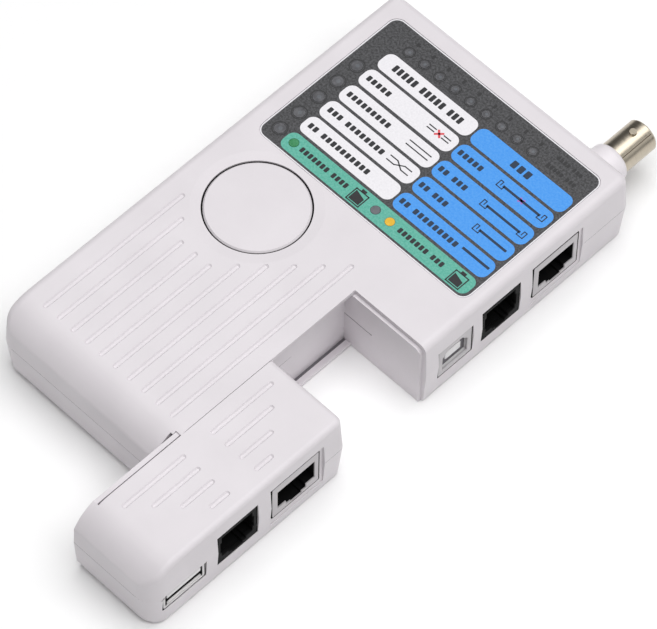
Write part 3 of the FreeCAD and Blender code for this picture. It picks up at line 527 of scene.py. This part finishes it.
def joined(name: str, meshes: Sequence[bpy.types.Mesh]) -> bpy.types.Object:
    """Make one object from several meshes.

    Args:
        name: The object's name.
        meshes: The meshes, each in place.

    Returns:
        The object.
    """
    build = bmesh.new()
    for mesh in meshes:
        build.from_mesh(mesh)
    bmesh.ops.remove_doubles(build, verts=build.verts, dist=1e-7)
    bmesh.ops.recalc_face_normals(build, faces=build.faces)
    whole = bpy.data.meshes.new(name)
    build.to_mesh(whole)
    build.free()
    smooth(whole)
    return link(name, whole)


def prisms(name: str, outlines: Sequence[Outline], low: float, high: float) -> bpy.types.Object:
    """Make thin islands standing up from low to high, one for each outline.

    Args:
        name: The object's name.
        outlines: Closed outlines, which may overlap.
        low: Where the islands start, in millimetres.
        high: Where they end.

    Returns:
        The object.
    """
    build = bmesh.new()
    for points in outlines:
        ring = [[build.verts.new((x * MM, y * MM, z * MM)) for x, y in points] for z in (low, high)]
        build.faces.new(ring[1])
        build.faces.new(list(reversed(ring[0])))
        count = len(points)
        for i in range(count):
            j = (i + 1) % count
            build.faces.new((ring[0][i], ring[0][j], ring[1][j], ring[1][i]))
    bmesh.ops.recalc_face_normals(build, faces=build.faces)
    mesh = bpy.data.meshes.new(name)
    build.to_mesh(mesh)
    build.free()
    return link(name, mesh)


def wire(name: str, path: Sequence[Spot], radius: float) -> bpy.types.Object:
    """Make a round wire along a path.

    Args:
        name: The object's name.
        path: Points in millimetres.
        radius: The wire's radius.

    Returns:
        The object.
    """
    curve = bpy.data.curves.new(name, "CURVE")
    curve.dimensions, curve.bevel_depth, curve.bevel_resolution = "3D", radius * MM, 2
    spline = curve.splines.new("POLY")
    spline.points.add(len(path) - 1)
    spline.points.foreach_set("co", [c for x, y, z in path for c in (x * MM, y * MM, z * MM, 1.0)])
    holder = bpy.data.objects.new(name, curve)
    mesh = bpy.data.meshes.new_from_object(holder)
    bpy.data.objects.remove(holder)
    bpy.data.curves.remove(curve)
    mesh.shade_smooth()
    return link(name, mesh)


def lathe(name: str, profile: Sequence[Point], centre: Spot, steps: int) -> bpy.types.Object:
    """Make a ring: (radius, height) points turned about an upright axis.

    Args:
        name: The object's name.
        profile: Radius and height of each point of the ring's section.
        centre: Where the axis stands and height zero lies, in millimetres.
        steps: Segments round the axis.

    Returns:
        The object.
    """
    build = bmesh.new()
    rows = [[build.verts.new((x * MM, y * MM, (centre[2] + height) * MM))
             for x, y in circle(centre[0], centre[1], radius, steps)] for radius, height in profile]
    for first, second in zip(rows, rows[1:] + rows[:1]):
        for i in range(steps):
            j = (i + 1) % steps
            build.faces.new((first[i], first[j], second[j], second[i]))
    bmesh.ops.remove_doubles(build, verts=build.verts, dist=1e-7)
    bmesh.ops.recalc_face_normals(build, faces=build.faces)
    mesh = bpy.data.meshes.new(name)
    build.to_mesh(mesh)
    build.free()
    smooth(mesh)
    return link(name, mesh)


def box_mm(node: str) -> tuple[Point, Point, Point]:
    """Low and high x, low and high y, and low and high z of a CAD node, in millimetres."""
    low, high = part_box(node)
    return (low.x / MM, high.x / MM), (low.y / MM, high.y / MM), (low.z / MM, high.z / MM)


def inset(span: Point, low: float, high: Optional[float] = None) -> Point:
    """Shorten a span by low at its start and by high, or the same, at its end."""
    return (span[0] + low, span[1] - (low if high is None else high))


@dataclass
class Workshop:
    """Shared palette, and the one place where a piece is dressed and given to its body."""

    palette: Palette = field(default_factory=Palette)

    def dress(self, piece: bpy.types.Object, finish: str, body: Body,
              replaces: Sequence[str] = ()) -> bpy.types.Object:
        """Give a new piece its finish and body.

        Args:
            piece: The new object.
            finish: Key of the finish.
            body: The body it moves with.
            replaces: CAD nodes that it stands for.

        Returns:
            The same object.
        """
        piece.data.materials.append(self.palette[finish])
        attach(piece, body.value)
        if replaces:
            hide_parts(*replaces)
        LOG.info("%s on %s in %s", piece.name, body.value, finish)
        return piece

    def dress_node(self, node: bpy.types.Object, finish: str) -> None:
        """Give a carried-over CAD node its finish and clean shading.

        Args:
            node: The node's object.
            finish: Key of the finish.
        """
        node.data.materials.clear()
        node.data.materials.append(self.palette[finish])
        smooth(node.data, angle=28.0)
        shading = node.modifiers.new("even_normals", "WEIGHTED_NORMAL")
        shading.keep_sharp = True
        LOG.info("%s in %s", node.name, finish)


# ---------------------------------------------------------------- sub-assemblies


@dataclass
class CadNodes:
    """Finishes of the CAD nodes that stay as they are."""

    finishes: dict[str, tuple[str, ...]] = field(default_factory=lambda: {
        "case": ("main_top_shell", "main_bottom_shell", "battery_door", "test_button",
                 "remote_top_shell", "remote_bottom_shell", "remote_rail"),
        "overlay": ("label_overlay",),
        "lamp_tint": ("column_lamps", "row_lamps"),
        "lamp_green": ("battery_lamp_green",),
        "lamp_grey": ("battery_lamp_grey",),
        "lamp_yellow": ("battery_lamp_yellow",),
        "jack_black": ("switch_body", "board_header", "controller_chip", "resistors", "remote_diodes",
                       "coax_base", "battery_snap"),
        "jack_grey": ("switch_plunger",),
        "board": ("main_board", "upper_board", "remote_board"),
        "steel": ("capacitor", "battery_terminals"),
        "screw": ("case_screws", "board_screws", "upper_board_screws", "remote_screws"),
        "gold": ("lan_contacts", "phone_contacts", "usb_b_contacts", "remote_lan_contacts",
                 "remote_phone_contacts", "remote_usb_contacts", "coax_pin"),
        "collar": ("coax_collar",),
        "nickel": ("coax_barrel",),
        "insulator": ("coax_insulator",),
        "battery": ("battery",),
        "lead": ("battery_leads",),
    })

    def build(self, shop: Workshop, nodes: dict[str, bpy.types.Object]) -> None:
        """Dress every node named here.

        Args:
            shop: Dresses the nodes.
            nodes: The frame's nodes by name.
        """
        for finish, names in self.finishes.items():
            for name in names:
                shop.dress_node(nodes[name], finish)


@dataclass(frozen=True)
class LampRun:
    """A straight run of equal lamps."""

    x: float
    y: float
    step: Point
    count: int
    rim_r: float

    def spots(self) -> list[Point]:
        """Centre of each lamp."""
        return [(self.x + i * self.step[0], self.y + i * self.step[1]) for i in range(self.count)]


COLUMN_LAMPS = LampRun(-32.0, 17.8, (0.0, 7.05), 5, 1.95)
ROW_LAMPS = LampRun(-25.5, 58.75, (5.55, 0.0), 9, 1.45)


@dataclass
class Label:
    """Printed fields, signs and word bars of the label, as thin islands of ink."""

    rows: tuple[Point, ...] = ((49.4, 55.6), (42.3, 48.5), (35.1, 41.3), (28.0, 34.2), (20.9, 27.1))
    white_x: Point = (-29.1, 3.75)
    blue_x: Point = (4.4, 37.3)
    strip_y: Point = (13.9, 20.0)
    corner: float = 2.2
    film_corner: float = 2.6
    border_spread: Point = (0.34, 0.02)
    strip_lamps_x: tuple[float, float, float] = (-26.2, 3.3, 8.4)
    strip_lamps_y: float = 17.1
    strip_lamp_r: float = 1.4
    strip_words_y: float = 17.05
    ink_mm: float = 0.02
    bite_mm: float = 0.01
    letter: float = 1.75
    letter_pitch: float = 1.72
    stroke: float = 0.36

    def build(self, shop: Workshop) -> None:
        """Print the fields first and the signs over them.

        Args:
            shop: Dresses the pieces.
        """
        film_x, film_y, (film_low, face) = box_mm("label_overlay")
        low, mid, high = face - self.bite_mm, face + self.ink_mm, face + 2 * self.ink_mm
        fields = {
            "white": [rounded_rect(self.white_x, y, self.corner) for y in self.rows],
            "blue": [rounded_rect(self.blue_x, y, self.corner) for y in self.rows],
        }
        for colour, outlines in fields.items():
            piece = prisms(f"label_fields_{colour}", outlines, low, mid)
            shop.dress(piece, f"ink_{colour}", Body.MAIN)
        lamps = [circle(x, self.strip_lamps_y, self.strip_lamp_r) for x in self.strip_lamps_x]
        outline = rounded_rect((self.white_x[0], self.blue_x[1]), self.strip_y, self.corner)
        strip = plate_mesh([outline, *lamps], low, mid, Facing.UP)
        shop.dress(joined("label_strip_teal", [strip]), "ink_teal", Body.MAIN)
        # Painted highlight: a white ring fills the recess gap round the film, standing in for the recess
        # floor in full light
        ring = [rounded_rect(inset(film_x, -spread), inset(film_y, -spread), self.film_corner + spread)
                for spread in self.border_spread]
        border = plate_mesh(ring, film_low + 0.02, face, Facing.UP)
        shop.dress(joined("label_recess_highlight", [border]), "ink_white", Body.MAIN)
        inks = {
            "ink_black": self.word_bars_white() + self.line_signs() + self.batteries(),
            "ink_navy": self.word_bars_blue() + self.cable_signs(),
            "ink_red": self.cross(-1.9, 45.65, 0.95, 0.62),
            "ink_pink": self.cross(27.5, 45.55, 0.75, 0.5),
            "ink_faint": self.faint_marks(),
        }
        for finish, outlines in inks.items():
            shop.dress(prisms(f"label_{finish}", outlines, low, high), finish, Body.MAIN)

    @staticmethod
    def words(x: float, y: float, counts: Sequence[int], height: float, pitch: float) -> list[Outline]:
        """Lay runs of plain blocks where words would stand.

        Args:
            x: Left end of the first run.
            y: Height of the line's middle.
            counts: Blocks in each run.
            height: Height of a block.
            pitch: Distance from block to block.

        Returns:
            The blocks' outlines.
        """
        made = []
        for count in counts:
            for i in range(count):
                left, right = x + i * pitch, x + (i + 0.72) * pitch
                made.append(rounded_rect((left, right), (y - height / 2, y + height / 2), 0.25, 2))
            x += (count + 0.75) * pitch
        return made

    @staticmethod
    def cross(x: float, y: float, reach: float, width: float) -> list[Outline]:
        """A slanting cross."""
        return [bar((x - reach, y - reach * s), (x + reach, y + reach * s), width) for s in (-1, 1)]

    def middle(self, row: int) -> float:
        """Height of a row's centre line."""
        return sum(self.rows[row]) / 2

    def word_bars_white(self) -> list[Outline]:
        """Bars in the white fields and the strip: a heading, then one line in each row.

        Returns:
            Their outlines.
        """
        bars = self.words(-24.9, self.middle(0), (5, 5, 3), 2.3, self.letter_pitch)
        for row, counts in ((1, (5,)), (2, (9,)), (3, (3, 8)), (4, (2, 10))):
            bars += self.words(-27.5, self.middle(row), counts, self.letter, self.letter_pitch)
        bars += self.words(-23.6, self.strip_words_y, (7, 4), 1.65, 1.46)
        bars += self.words(11.6, self.strip_words_y, (7, 3), 1.65, 1.5)
        return bars

    def word_bars_blue(self) -> list[Outline]:
        """Bars in the blue fields.

        Returns:
            Their outlines.
        """
        bars = self.words(17.6, self.middle(0), (3,), 2.3, 2.35)
        for row, counts in ((1, (5,)), (2, (2, 3)), (3, (2, 3)), (4, (2, 9))):
            bars += self.words(5.5, self.middle(row), counts, self.letter, 1.74)
        return bars

    def line_signs(self) -> list[Outline]:
        """Signs of broken, straight and crossed pairs of wires.

        Returns:
            Their outlines.
        """
        made = [bar((x0, 45.65 + dy), (x1, 45.65 + dy), self.stroke)
                for x0, x1 in ((-5.9, -3.2), (-0.7, 1.9)) for dy in (-0.5, 0.5)]
        made += [bar((-5.95, y), (1.85, y), self.stroke) for y in (39.0, 37.5)]
        low, high = 30.5, 32.1
        for a, b in ((low, high), (high, low)):
            made += [bar((-6.1, a), (-3.3, a), self.stroke), bar((-3.4, a), (-0.9, b), self.stroke),
                     bar((-1.0, b), (1.6, b), self.stroke)]
        return made

    def cable_signs(self) -> list[Outline]:
        """Signs of a cable with a plug at both ends, at one end and at none.

        Returns:
            Their outlines.
        """
        made: list[Outline] = []
        for y, x0, x1, ends in ((45.6, 19.4, 35.6, 2), (38.25, 20.6, 35.6, 2), (31.5, 24.5, 35.6, 1)):
            made.append(bar((x0 + 1.6, y), (x1 - (1.6 if ends == 2 else 0), y), 0.75))
            for x, sign in ((x0, 1), (x1, -1))[:ends]:
                throat, nose = x + 0.9 * sign, x + 2.0 * sign
                made += [bar((x, y - 1.1), (x, y + 1.1), 0.32), bar((x, y + 1.0), (throat, y + 1.0), 0.3),
                         bar((throat, y + 1.1), (throat, y - 0.4), 0.3),
                         bar((x, y - 1.0), (x + 2.1 * sign, y - 1.0), 0.3),
                         bar((nose, y - 1.1), (nose, y + 0.1), 0.3)]
        made.append(bar((26.9, 24.6), (36.2, 24.6), 0.8))
        return made

    @staticmethod
    def batteries() -> list[Outline]:
        """Two signs of a block battery: the first nearly full, the second half empty.

        Returns:
            Their outlines.
        """
        made: list[Outline] = []
        for x, fill in ((-5.0, 1.0), (30.45, 0.6)):
            made += [bar((x, y), (x + 4.6, y), 0.35) for y in (14.5, 18.6)]
            made += [bar((x + side, 14.4), (x + side, 18.7), 0.35) for side in (0.15, 4.45)]
            made.append(bar((x + 1.5, 19.1), (x + 3.1, 19.1), 0.8))
            left, right = x + 0.55, x + 4.05
            made.append([(left, 14.9), (right, 14.9), (right, 16.2 + fill), (left, 17.2 + fill)])
        return made

    def faint_marks(self) -> list[Outline]:
        """Dark strokes over the row of lamps and short bars at its end.

        Returns:
            Their outlines.
        """
        made = [rounded_rect((x - 0.4, x + 0.4), (61.5, 62.8), 0.15, 2) for x, _ in ROW_LAMPS.spots()]
        return made + self.words(24.6, 62.0, (4, 3), 1.2, 1.15) + self.words(24.2, 58.6, (5, 3), 1.2, 1.15)


@dataclass
class Lamps:
    """Dark rims printed round the lamps, and the small bright dies inside them."""

    rim_mm: float = 0.3
    die_share: float = 0.3
    die_offset: float = 0.1

    def build(self, shop: Workshop) -> None:
        """Lay a rim round each lamp of the column and of the row, and a die in its middle.

        Args:
            shop: Dresses the pieces.
        """
        face, top = (box_mm(node)[2][1] for node in ("label_overlay", "column_lamps"))
        spots = [(x, y, run.rim_r) for run in (COLUMN_LAMPS, ROW_LAMPS) for x, y in run.spots()]
        rims = [plate_mesh([circle(x, y, r + self.rim_mm), circle(x, y, r)], face - 0.05, face + 0.03,
                           Facing.UP) for x, y, r in spots]
        shop.dress(joined("lamp_rims", rims), "ink_faint", Body.MAIN)
        dies = [plate_mesh([circle(x + self.die_offset, y + self.die_offset, r * self.die_share, 16)],
                           top - 0.02, top + 0.02, Facing.UP) for x, y, r in spots]
        shop.dress(joined("lamp_dies", dies), "lamp_grey", Body.MAIN)


@dataclass
class Shade:
    """Unlit backing in the narrow gap between a socket and its cut-out."""

    node: str
    body: Body
    gap_mm: float = 0.33
    depth_mm: float = 0.06
    thick_mm: float = 0.6

    def build(self, shop: Workshop) -> None:
        """Lay the ring of shade behind the face.

        Args:
            shop: Dresses the piece.
        """
        (_, face), y, z = box_mm(self.node)
        ring = [rounded_rect(inset(y, -gap), inset(z, -gap), 0.4, 3) for gap in (self.gap_mm, 0.02)]
        plate = plate_mesh(ring, face - self.depth_mm - self.thick_mm, face - self.depth_mm, Facing.SIDE)
        shop.dress(joined(self.node + "_shade", [plate]), "case_dark", self.body)


def stepped(centre: float, base: float, half: Sequence[Point]) -> Outline:
    """Mirror one half of a jack's stepped opening.

    Args:
        centre: The opening's middle line.
        base: Height from which the steps are measured.
        half: Steps of one half, from the bottom up: distance from the middle and height.

    Returns:
        The whole outline.
    """
    return ([(centre + y, base + z) for y, z in half]
            + [(centre - y, base + z) for y, z in reversed(half)])


@dataclass
class LanJack:
    """Eight-way jack: light grey frame round a black stepped well."""

    node: str
    body: Body
    frame_mm: float = 0.45
    well_mm: float = 11.0
    aside_mm: float = 0.25
    steps: tuple[Point, ...] = ((1.9, 0.3), (1.9, 0.95), (3.5, 0.95), (3.5, 2.4), (6.5, 2.4), (6.5, 9.9))

    def build(self, shop: Workshop) -> None:
        """Make the frame and the black insert behind it.

        Args:
            shop: Dresses the pieces.
        """
        (back, face), y, z = box_mm(self.node)
        edge = rounded_rect(y, z, 0.35, 3)
        opening = stepped(sum(y) / 2 + self.aside_mm, z[0], self.steps)
        frame = plate_mesh([edge, opening], face - self.frame_mm, face, Facing.SIDE, 0.12)
        shop.dress(joined(self.node + "_frame", [frame]), "jack_grey", self.body, [self.node])
        inner = rounded_rect(inset(y, 0.1), inset(z, 0.1), 0.3, 3)
        well = plate_mesh([inner, opening], face - self.well_mm, face - self.frame_mm - 0.02, Facing.SIDE)
        rear = plate_mesh([inner], back, face - self.well_mm - 0.01, Facing.SIDE, 0.2)
        shop.dress(joined(self.node + "_insert", [well, rear]), "jack_black", self.body)


@dataclass
class PhoneJack:
    """Six-way jack, black throughout, with a slim frame round its stepped well."""

    node: str
    body: Body
    frame_mm: float = 1.4
    well_mm: float = 11.0
    steps: tuple[Point, ...] = ((1.8, 0.6), (1.8, 1.3), (3.0, 1.3), (3.0, 2.2), (5.3, 2.2), (5.3, 4.0),
                                (5.8, 4.0), (5.8, 8.6), (5.3, 8.6), (5.3, 10.8))

    def build(self, shop: Workshop) -> None:
        """Make the jack.

        Args:
            shop: Dresses the piece.
        """
        (back, face), y, z = box_mm(self.node)
        edge = rounded_rect(y, z, 0.35, 3)
        opening = stepped(sum(y) / 2, z[0], self.steps)
        front = plate_mesh([edge, opening], face - self.frame_mm, face, Facing.SIDE, 0.12)
        well = plate_mesh([edge, opening], face - self.well_mm, face - self.frame_mm - 0.02, Facing.SIDE)
        rear = plate_mesh([edge], back, face - self.well_mm - 0.01, Facing.SIDE, 0.2)
        shop.dress(joined(self.node + "_body", [front, well, rear]), "jack_black", self.body,
                   [self.node])


@dataclass
class UsbSquare:
    """Square USB socket: white housing, opening with two cut corners, tongue in the middle."""

    node: str = "usb_b"
    body: Body = Body.MAIN
    ring_mm: float = 0.69
    rear_mm: float = 1.2
    floor_mm: float = 1.2
    chamfer: Point = (2.0, 2.2)

    def build(self, shop: Workshop) -> None:
        """Make housing, face ring, shaded floor and tongue.

        Args:
            shop: Dresses the pieces.
        """
        (back, face), y, z = box_mm(self.node + "_shell")
        (a, b), (c, d), (cut_y, cut_z) = inset(y, 1.5), inset(z, 1.55, 1.6), self.chamfer
        opening = [(a, c), (b, c), (b, d - cut_z), (b - cut_y, d), (a + cut_y, d), (a, d - cut_z)]
        edge = rounded_rect(y, z, 0.4, 3)
        parts = [plate_mesh([edge, opening], back + self.rear_mm, face - self.ring_mm - 0.01, Facing.SIDE),
                 plate_mesh([edge], back, back + self.rear_mm - 0.01, Facing.SIDE)]
        shop.dress(joined("usb_b_housing", parts), "usb_white", self.body,
                   [self.node + "_shell"])
        face_ring = plate_mesh([edge, opening], face - self.ring_mm, face, Facing.SIDE, 0.18)
        shop.dress(joined("usb_b_face", [face_ring]), "jack_grey", self.body)
        # The floor is a hair smaller than the opening, so that their faces don't meet
        inward = ((1, 1), (-1, 1), (-1, -1), (-1, -1), (1, -1), (1, -1))
        outline = [(u + s * 0.05, v + t * 0.05) for (u, v), (s, t) in zip(opening, inward)]
        floor = plate_mesh([outline], face - self.floor_mm - 0.3, face - self.floor_mm, Facing.SIDE)
        shop.dress(joined("usb_b_floor", [floor]), "usb_shadow", self.body)
        (root, tip), (a, b), (c, d) = box_mm(self.node + "_tongue")
        core = [(a, c + 0.3), (a + 0.3, c), (b - 0.3, c), (b, c + 0.3), (b, d - 0.6), (b - 0.9, d),
                (a + 0.9, d), (a, d - 0.6)]
        tongue = plate_mesh([core], root, tip + 0.6, Facing.SIDE, 0.2)
        shop.dress(joined("usb_b_core", [tongue]), "usb_white", self.body,
                   [self.node + "_tongue"])


@dataclass
class UsbFlat:
    """Flat USB socket: folded sheet shell with flared lips and a white tongue."""

    node: str = "remote_usb"
    body: Body = Body.REMOTE
    sheet_mm: float = 0.4
    rear_mm: float = 1.0

    def build(self, shop: Workshop) -> None:
        """Make shell, lips, spring, a near-black plate of painted shade in the well, and tongue.

        Args:
            shop: Dresses the pieces.
        """
        (back, face), y, z = box_mm(self.node + "_shell")
        front = back + self.rear_mm
        outer = rounded_rect(inset(y, 0.35), inset(z, 0.3), 0.6)
        inner = rounded_rect(inset(y, 0.35 + self.sheet_mm), inset(z, 0.3 + self.sheet_mm), 0.4)
        parts = [plate_mesh([outer, inner], front, face - 0.3, Facing.SIDE, 0.05),
                 plate_mesh([rounded_rect(y, z, 0.7), inner], face - 0.5, face, Facing.SIDE, 0.14),
                 plate_mesh([outer], back, front, Facing.SIDE)]
        shop.dress(joined("remote_usb_sheet", parts), "steel", self.body,
                   [self.node + "_shell"])
        spring = plate_mesh([rounded_rect(inset(y, 1.3), (z[0] + 0.95, z[0] + 2.1), 0.3)], front,
                            face - 0.05, Facing.SIDE, 0.1)
        shop.dress(joined("remote_usb_spring", [spring]), "steel", self.body)
        # Painted shade: a near-black plate stands in for the shade deep in the opening
        dark = plate_mesh([rounded_rect(inset(y, 0.8), inset(z, 0.75), 0.3)], face - 0.6, face - 0.3,
                          Facing.SIDE)
        shop.dress(joined("remote_usb_well", [dark]), "case_dark", self.body)
        tongue = plate_mesh([rounded_rect(inset(y, 1.35), inset(z, 3.7, 1.0), 0.25)], front, face - 0.05,
                            Facing.SIDE, 0.1)
        shop.dress(joined("remote_usb_core", [tongue]), "usb_white", self.body,
                   [self.node + "_tongue"])


@dataclass
class Seams:
    """Grey wires of painted shade in the fine gap between the shells, the shaded rail slot and ring gap,
    and a dark brown line along the barrel.
    """

    height: float = 12.5
    radius: float = 0.1
    sunk: float = 0.07
    far_round: float = 2.8
    near_round: float = 5.5
    remote_far_round: float = 2.2
    sockets_far_y: float = 53.9
    collar_x: Point = (23.0, 36.4)
    bay_x: float = 14.2
    bay_side_y: Point = (-64.0, -24.0)
    bay_end_x: Point = (14.3, 24.0)
    bay_end_y: float = -4.97
    bay_end_radius: float = 0.112
    rail_slot: tuple[Point, Point, Point] = ((14.22, 14.95), (-64.9, -5.0), (0.66, 0.7))
    remote_slit_x: float = 17.05
    remote_sockets_y: Point = (-96.9, -40.2)
    button_gap: Point = (14.06, 14.46)
    button_gap_z: Point = (23.75, 0.25)
    barrel_axis: Point = (29.7, 12.3)
    barrel_r: float = 4.79
    barrel_near_y: float = 78.4
    barrel_turn: float = 39.0

    @staticmethod
    def corner(cx: float, cy: float, radius: float, start: float) -> list[Point]:
        """Make the points of a quarter turn.

        Args:
            cx: Centre's x.
            cy: Centre's y.
            radius: Radius of the turn.
            start: Where it starts, in degrees.

        Returns:
            Nine points, anticlockwise.
        """
        turns = [math.radians(start + 90 * i / 8) for i in range(9)]
        return [(cx + radius * math.cos(turn), cy + radius * math.sin(turn)) for turn in turns]

    def girth(self, shell: str) -> tuple[float, float, float, float]:
        """Low x, high x, low y and high y of a shell's widest line, with the seam sunk in its face."""
        x, y, _ = box_mm(shell)
        return (*inset(x, self.sunk), *inset(y, self.sunk))

    def lay(self, shop: Workshop, runs: dict[str, list[Point]], body: Body) -> None:
        """Lay level seams: grey wires painted as the shade in the gap between the shells.

        Args:
            shop: Dresses the pieces.
            runs: Points of each seam by name.
            body: The body that they lie on.
        """
        for name, points in runs.items():
            radius = self.bay_end_radius if name == "bay_seam_end" else self.radius
            piece = wire(name, [(x, y, self.height) for x, y in points], radius)
            shop.dress(piece, "case_line", body)

    def build(self, shop: Workshop) -> None:
        """Lay the seam wires of painted shade round both units, and the shades and the barrel's brown line
        beside them.

        Args:
            shop: Dresses the pieces.
        """
        x0, x1, y0, y1 = self.girth("main_bottom_shell")
        far, near = self.far_round, self.near_round
        wall = self.bay_x - self.sunk
        self.lay(shop, {
            "main_seam_side": [(x1, self.sockets_far_y), *self.corner(x1 - far, y1 - far, far, 0),
                               (self.collar_x[1], y1)],
            "main_seam_round": [(self.collar_x[0], y1), *self.corner(x0 + far, y1 - far, far, 90),
                                *self.corner(x0 + near, y0 + near, near, 180), (self.bay_x, y0)],
            "bay_seam_end": [(x, self.bay_end_y) for x in self.bay_end_x],
            "bay_seam_side": [(wall, y) for y in self.bay_side_y],
        }, Body.MAIN)
        (a, b), (c, d), (low, high) = self.rail_slot
        slot = prisms("rail_slot_shade", [[(a, c), (b, c), (b, d), (a, d)]], low, high)
        shop.dress(slot, "usb_shadow", Body.MAIN)
        x, y, _ = box_mm("test_button")
        (inner, outer), (base, rise) = self.button_gap, self.button_gap_z
        ring = lathe("button_gap_shade", [(inner, 0.0), (outer, 0.0), (outer, rise), (inner, rise)],
                     (sum(x) / 2, sum(y) / 2, base), 96)
        shop.dress(ring, "case_dark", Body.MAIN)
        turn, mouth = math.radians(self.barrel_turn), box_mm("coax_barrel")[1][1]
        x, z = (self.barrel_axis[0] + self.barrel_r * math.sin(turn),
                self.barrel_axis[1] + self.barrel_r * math.cos(turn))
        # A thin dark brown line laid along the barrel
        seam = wire("barrel_brown_line", [(x, self.barrel_near_y, z), (x, mouth - 0.6, z)], 0.1)
        shop.dress(seam, "line_brown", Body.MAIN)
        x0, x1, y0, y1 = self.girth("remote_bottom_shell")
        far = self.remote_far_round
        self.lay(shop, {
            "remote_seam_round": [(self.remote_slit_x, y1),
                                  *reversed(self.corner(x1 - far, y1 - far, far, 0)),
                                  (x1, self.remote_sockets_y[1])],
            "remote_seam_end": [(x1, self.remote_sockets_y[0]),
                                *reversed(self.corner(x1 - near, y0 + near, near, 270)), (x0, y0)],
        }, Body.REMOTE)


# ---------------------------------------------------------------- studio


@dataclass
class Studio:
    """Pale floor, soft light and the camera."""

    azimuth: float = 44.0
    elevation: float = 56.657
    roll: float = 1.107
    distance_mm: float = 1309.3
    shift_mm: Point = (2.672, -5.010)
    lens_mm: float = 278.31
    sensor_mm: float = 36.0
    floor_half_m: float = 4.0
    floor_drop_mm: float = 0.1
    sky: float = 0.07

    def camera(self) -> None:
        """Set the camera: it looks from the socket side and above, slightly rolled."""
        az, el, roll = (math.radians(a) for a in (self.azimuth, self.elevation, self.roll))
        back = Vector((math.cos(el) * math.sin(az), -math.cos(el) * math.cos(az), math.sin(el)))
        right = (-back).cross(Vector((0, 0, 1))).normalized()
        up = right.cross(-back)
        right, up = (right * math.cos(roll) + up * math.sin(roll),
                     up * math.cos(roll) - right * math.sin(roll))
        spot = (right * self.shift_mm[0] + up * self.shift_mm[1] + back * self.distance_mm) * MM
        data = bpy.data.cameras.new("studio_camera")
        data.lens, data.sensor_width = self.lens_mm, self.sensor_mm
        data.clip_start, data.clip_end = 0.05, 20.0
        eye = bpy.data.objects.new("studio_camera", data)
        eye.matrix_world = Matrix.Translation(spot) @ Matrix((right, up, back)).transposed().to_4x4()
        bpy.context.scene.collection.objects.link(eye)
        bpy.context.scene.camera = eye

    def lamp(self, name: str, spot: Point, height: float, size: float, power: float) -> None:
        """Hang one square soft light that faces the object.

        Args:
            name: The light's name.
            spot: Where it hangs, in metres.
            height: How high, in metres.
            size: Its side, in metres.
            power: In watts.
        """
        data = bpy.data.lights.new(name, "AREA")
        data.size, data.energy = size, power
        light = bpy.data.objects.new(name, data)
        light.location = (*spot, height)
        light.rotation_mode = "QUATERNION"
        light.rotation_quaternion = Vector(light.location).to_track_quat("Z", "Y")
        bpy.context.scene.collection.objects.link(light)

    def floor(self) -> None:
        """Lay the floor just under the object, so that the two don't share a plane."""
        material, tree, shader, place = blank("painted_board_white")
        # Brushed paint: a very slow drift between two near whites, quite matt
        drift = add_node(tree, "ShaderNodeTexNoise", {"Scale": 3.0}, Vector=place)
        tones = add_node(tree, "ShaderNodeMix", {"data_type": "RGBA"}, n0=drift.outputs["Fac"])
        tones.inputs[6].default_value, tones.inputs[7].default_value = linear("F8F8F8"), linear("FBFBFB")
        tree.links.new(tones.outputs[2], shader.inputs["Base Color"])
        shader.inputs["Roughness"].default_value = 0.9
        shader.inputs["Specular IOR Level"].default_value = 0.1
        build = bmesh.new()
        bmesh.ops.create_grid(build, x_segments=2, y_segments=2, size=self.floor_half_m)
        mesh = bpy.data.meshes.new("studio_floor")
        build.to_mesh(mesh)
        build.free()
        mesh.materials.append(material)
        mesh.transform(Matrix.Translation((0.0, 0.0, -self.floor_drop_mm * MM)))
        floor = link("studio_floor", mesh)

    def build(self) -> None:
        """Lay the floor, hang the lights and set the camera."""
        self.floor()
        world = bpy.data.worlds.new("studio_sky")
        world.use_nodes = True
        background = world.node_tree.nodes["Background"]
        background.inputs["Color"].default_value = (1.0, 1.0, 1.0, 1.0)
        background.inputs["Strength"].default_value = self.sky
        bpy.context.scene.world = world
        bpy.context.scene.view_settings.view_transform = "Standard"
        self.lamp("roof_light", spot=(0.15, 0.1), height=1.8, size=2.2, power=46.0)
        self.lamp("side_light", spot=(1.5, 0.5), height=0.9, size=1.0, power=3.4)
        self.camera()


def corners(pair: Sequence[Vector]) -> list[list[float]]:
    """A box's two corners as plain lists."""
    return [list(corner) for corner in pair]


def main() -> None:
    """Build the scene piece by piece."""
    logging.basicConfig(level=logging.INFO, format="%(name)s: %(message)s")
    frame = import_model()
    shop = Workshop()
    CadNodes().build(shop, frame["nodes"])
    Label().build(shop)
    Lamps().build(shop)
    for node, body in (("lan_jack", Body.MAIN), ("phone_jack", Body.MAIN), ("usb_b_shell", Body.MAIN),
                       ("remote_lan_jack", Body.REMOTE), ("remote_phone_jack", Body.REMOTE),
                       ("remote_usb_shell", Body.REMOTE)):
        Shade(node, body).build(shop)
    LanJack("lan_jack", Body.MAIN).build(shop)
    LanJack("remote_lan_jack", Body.REMOTE).build(shop)
    PhoneJack("phone_jack", Body.MAIN).build(shop)
    PhoneJack("remote_phone_jack", Body.REMOTE).build(shop)
    UsbSquare().build(shop)
    UsbFlat().build(shop)
    Seams().build(shop)
    Studio().build()


if __name__ == "__main__":
    main()
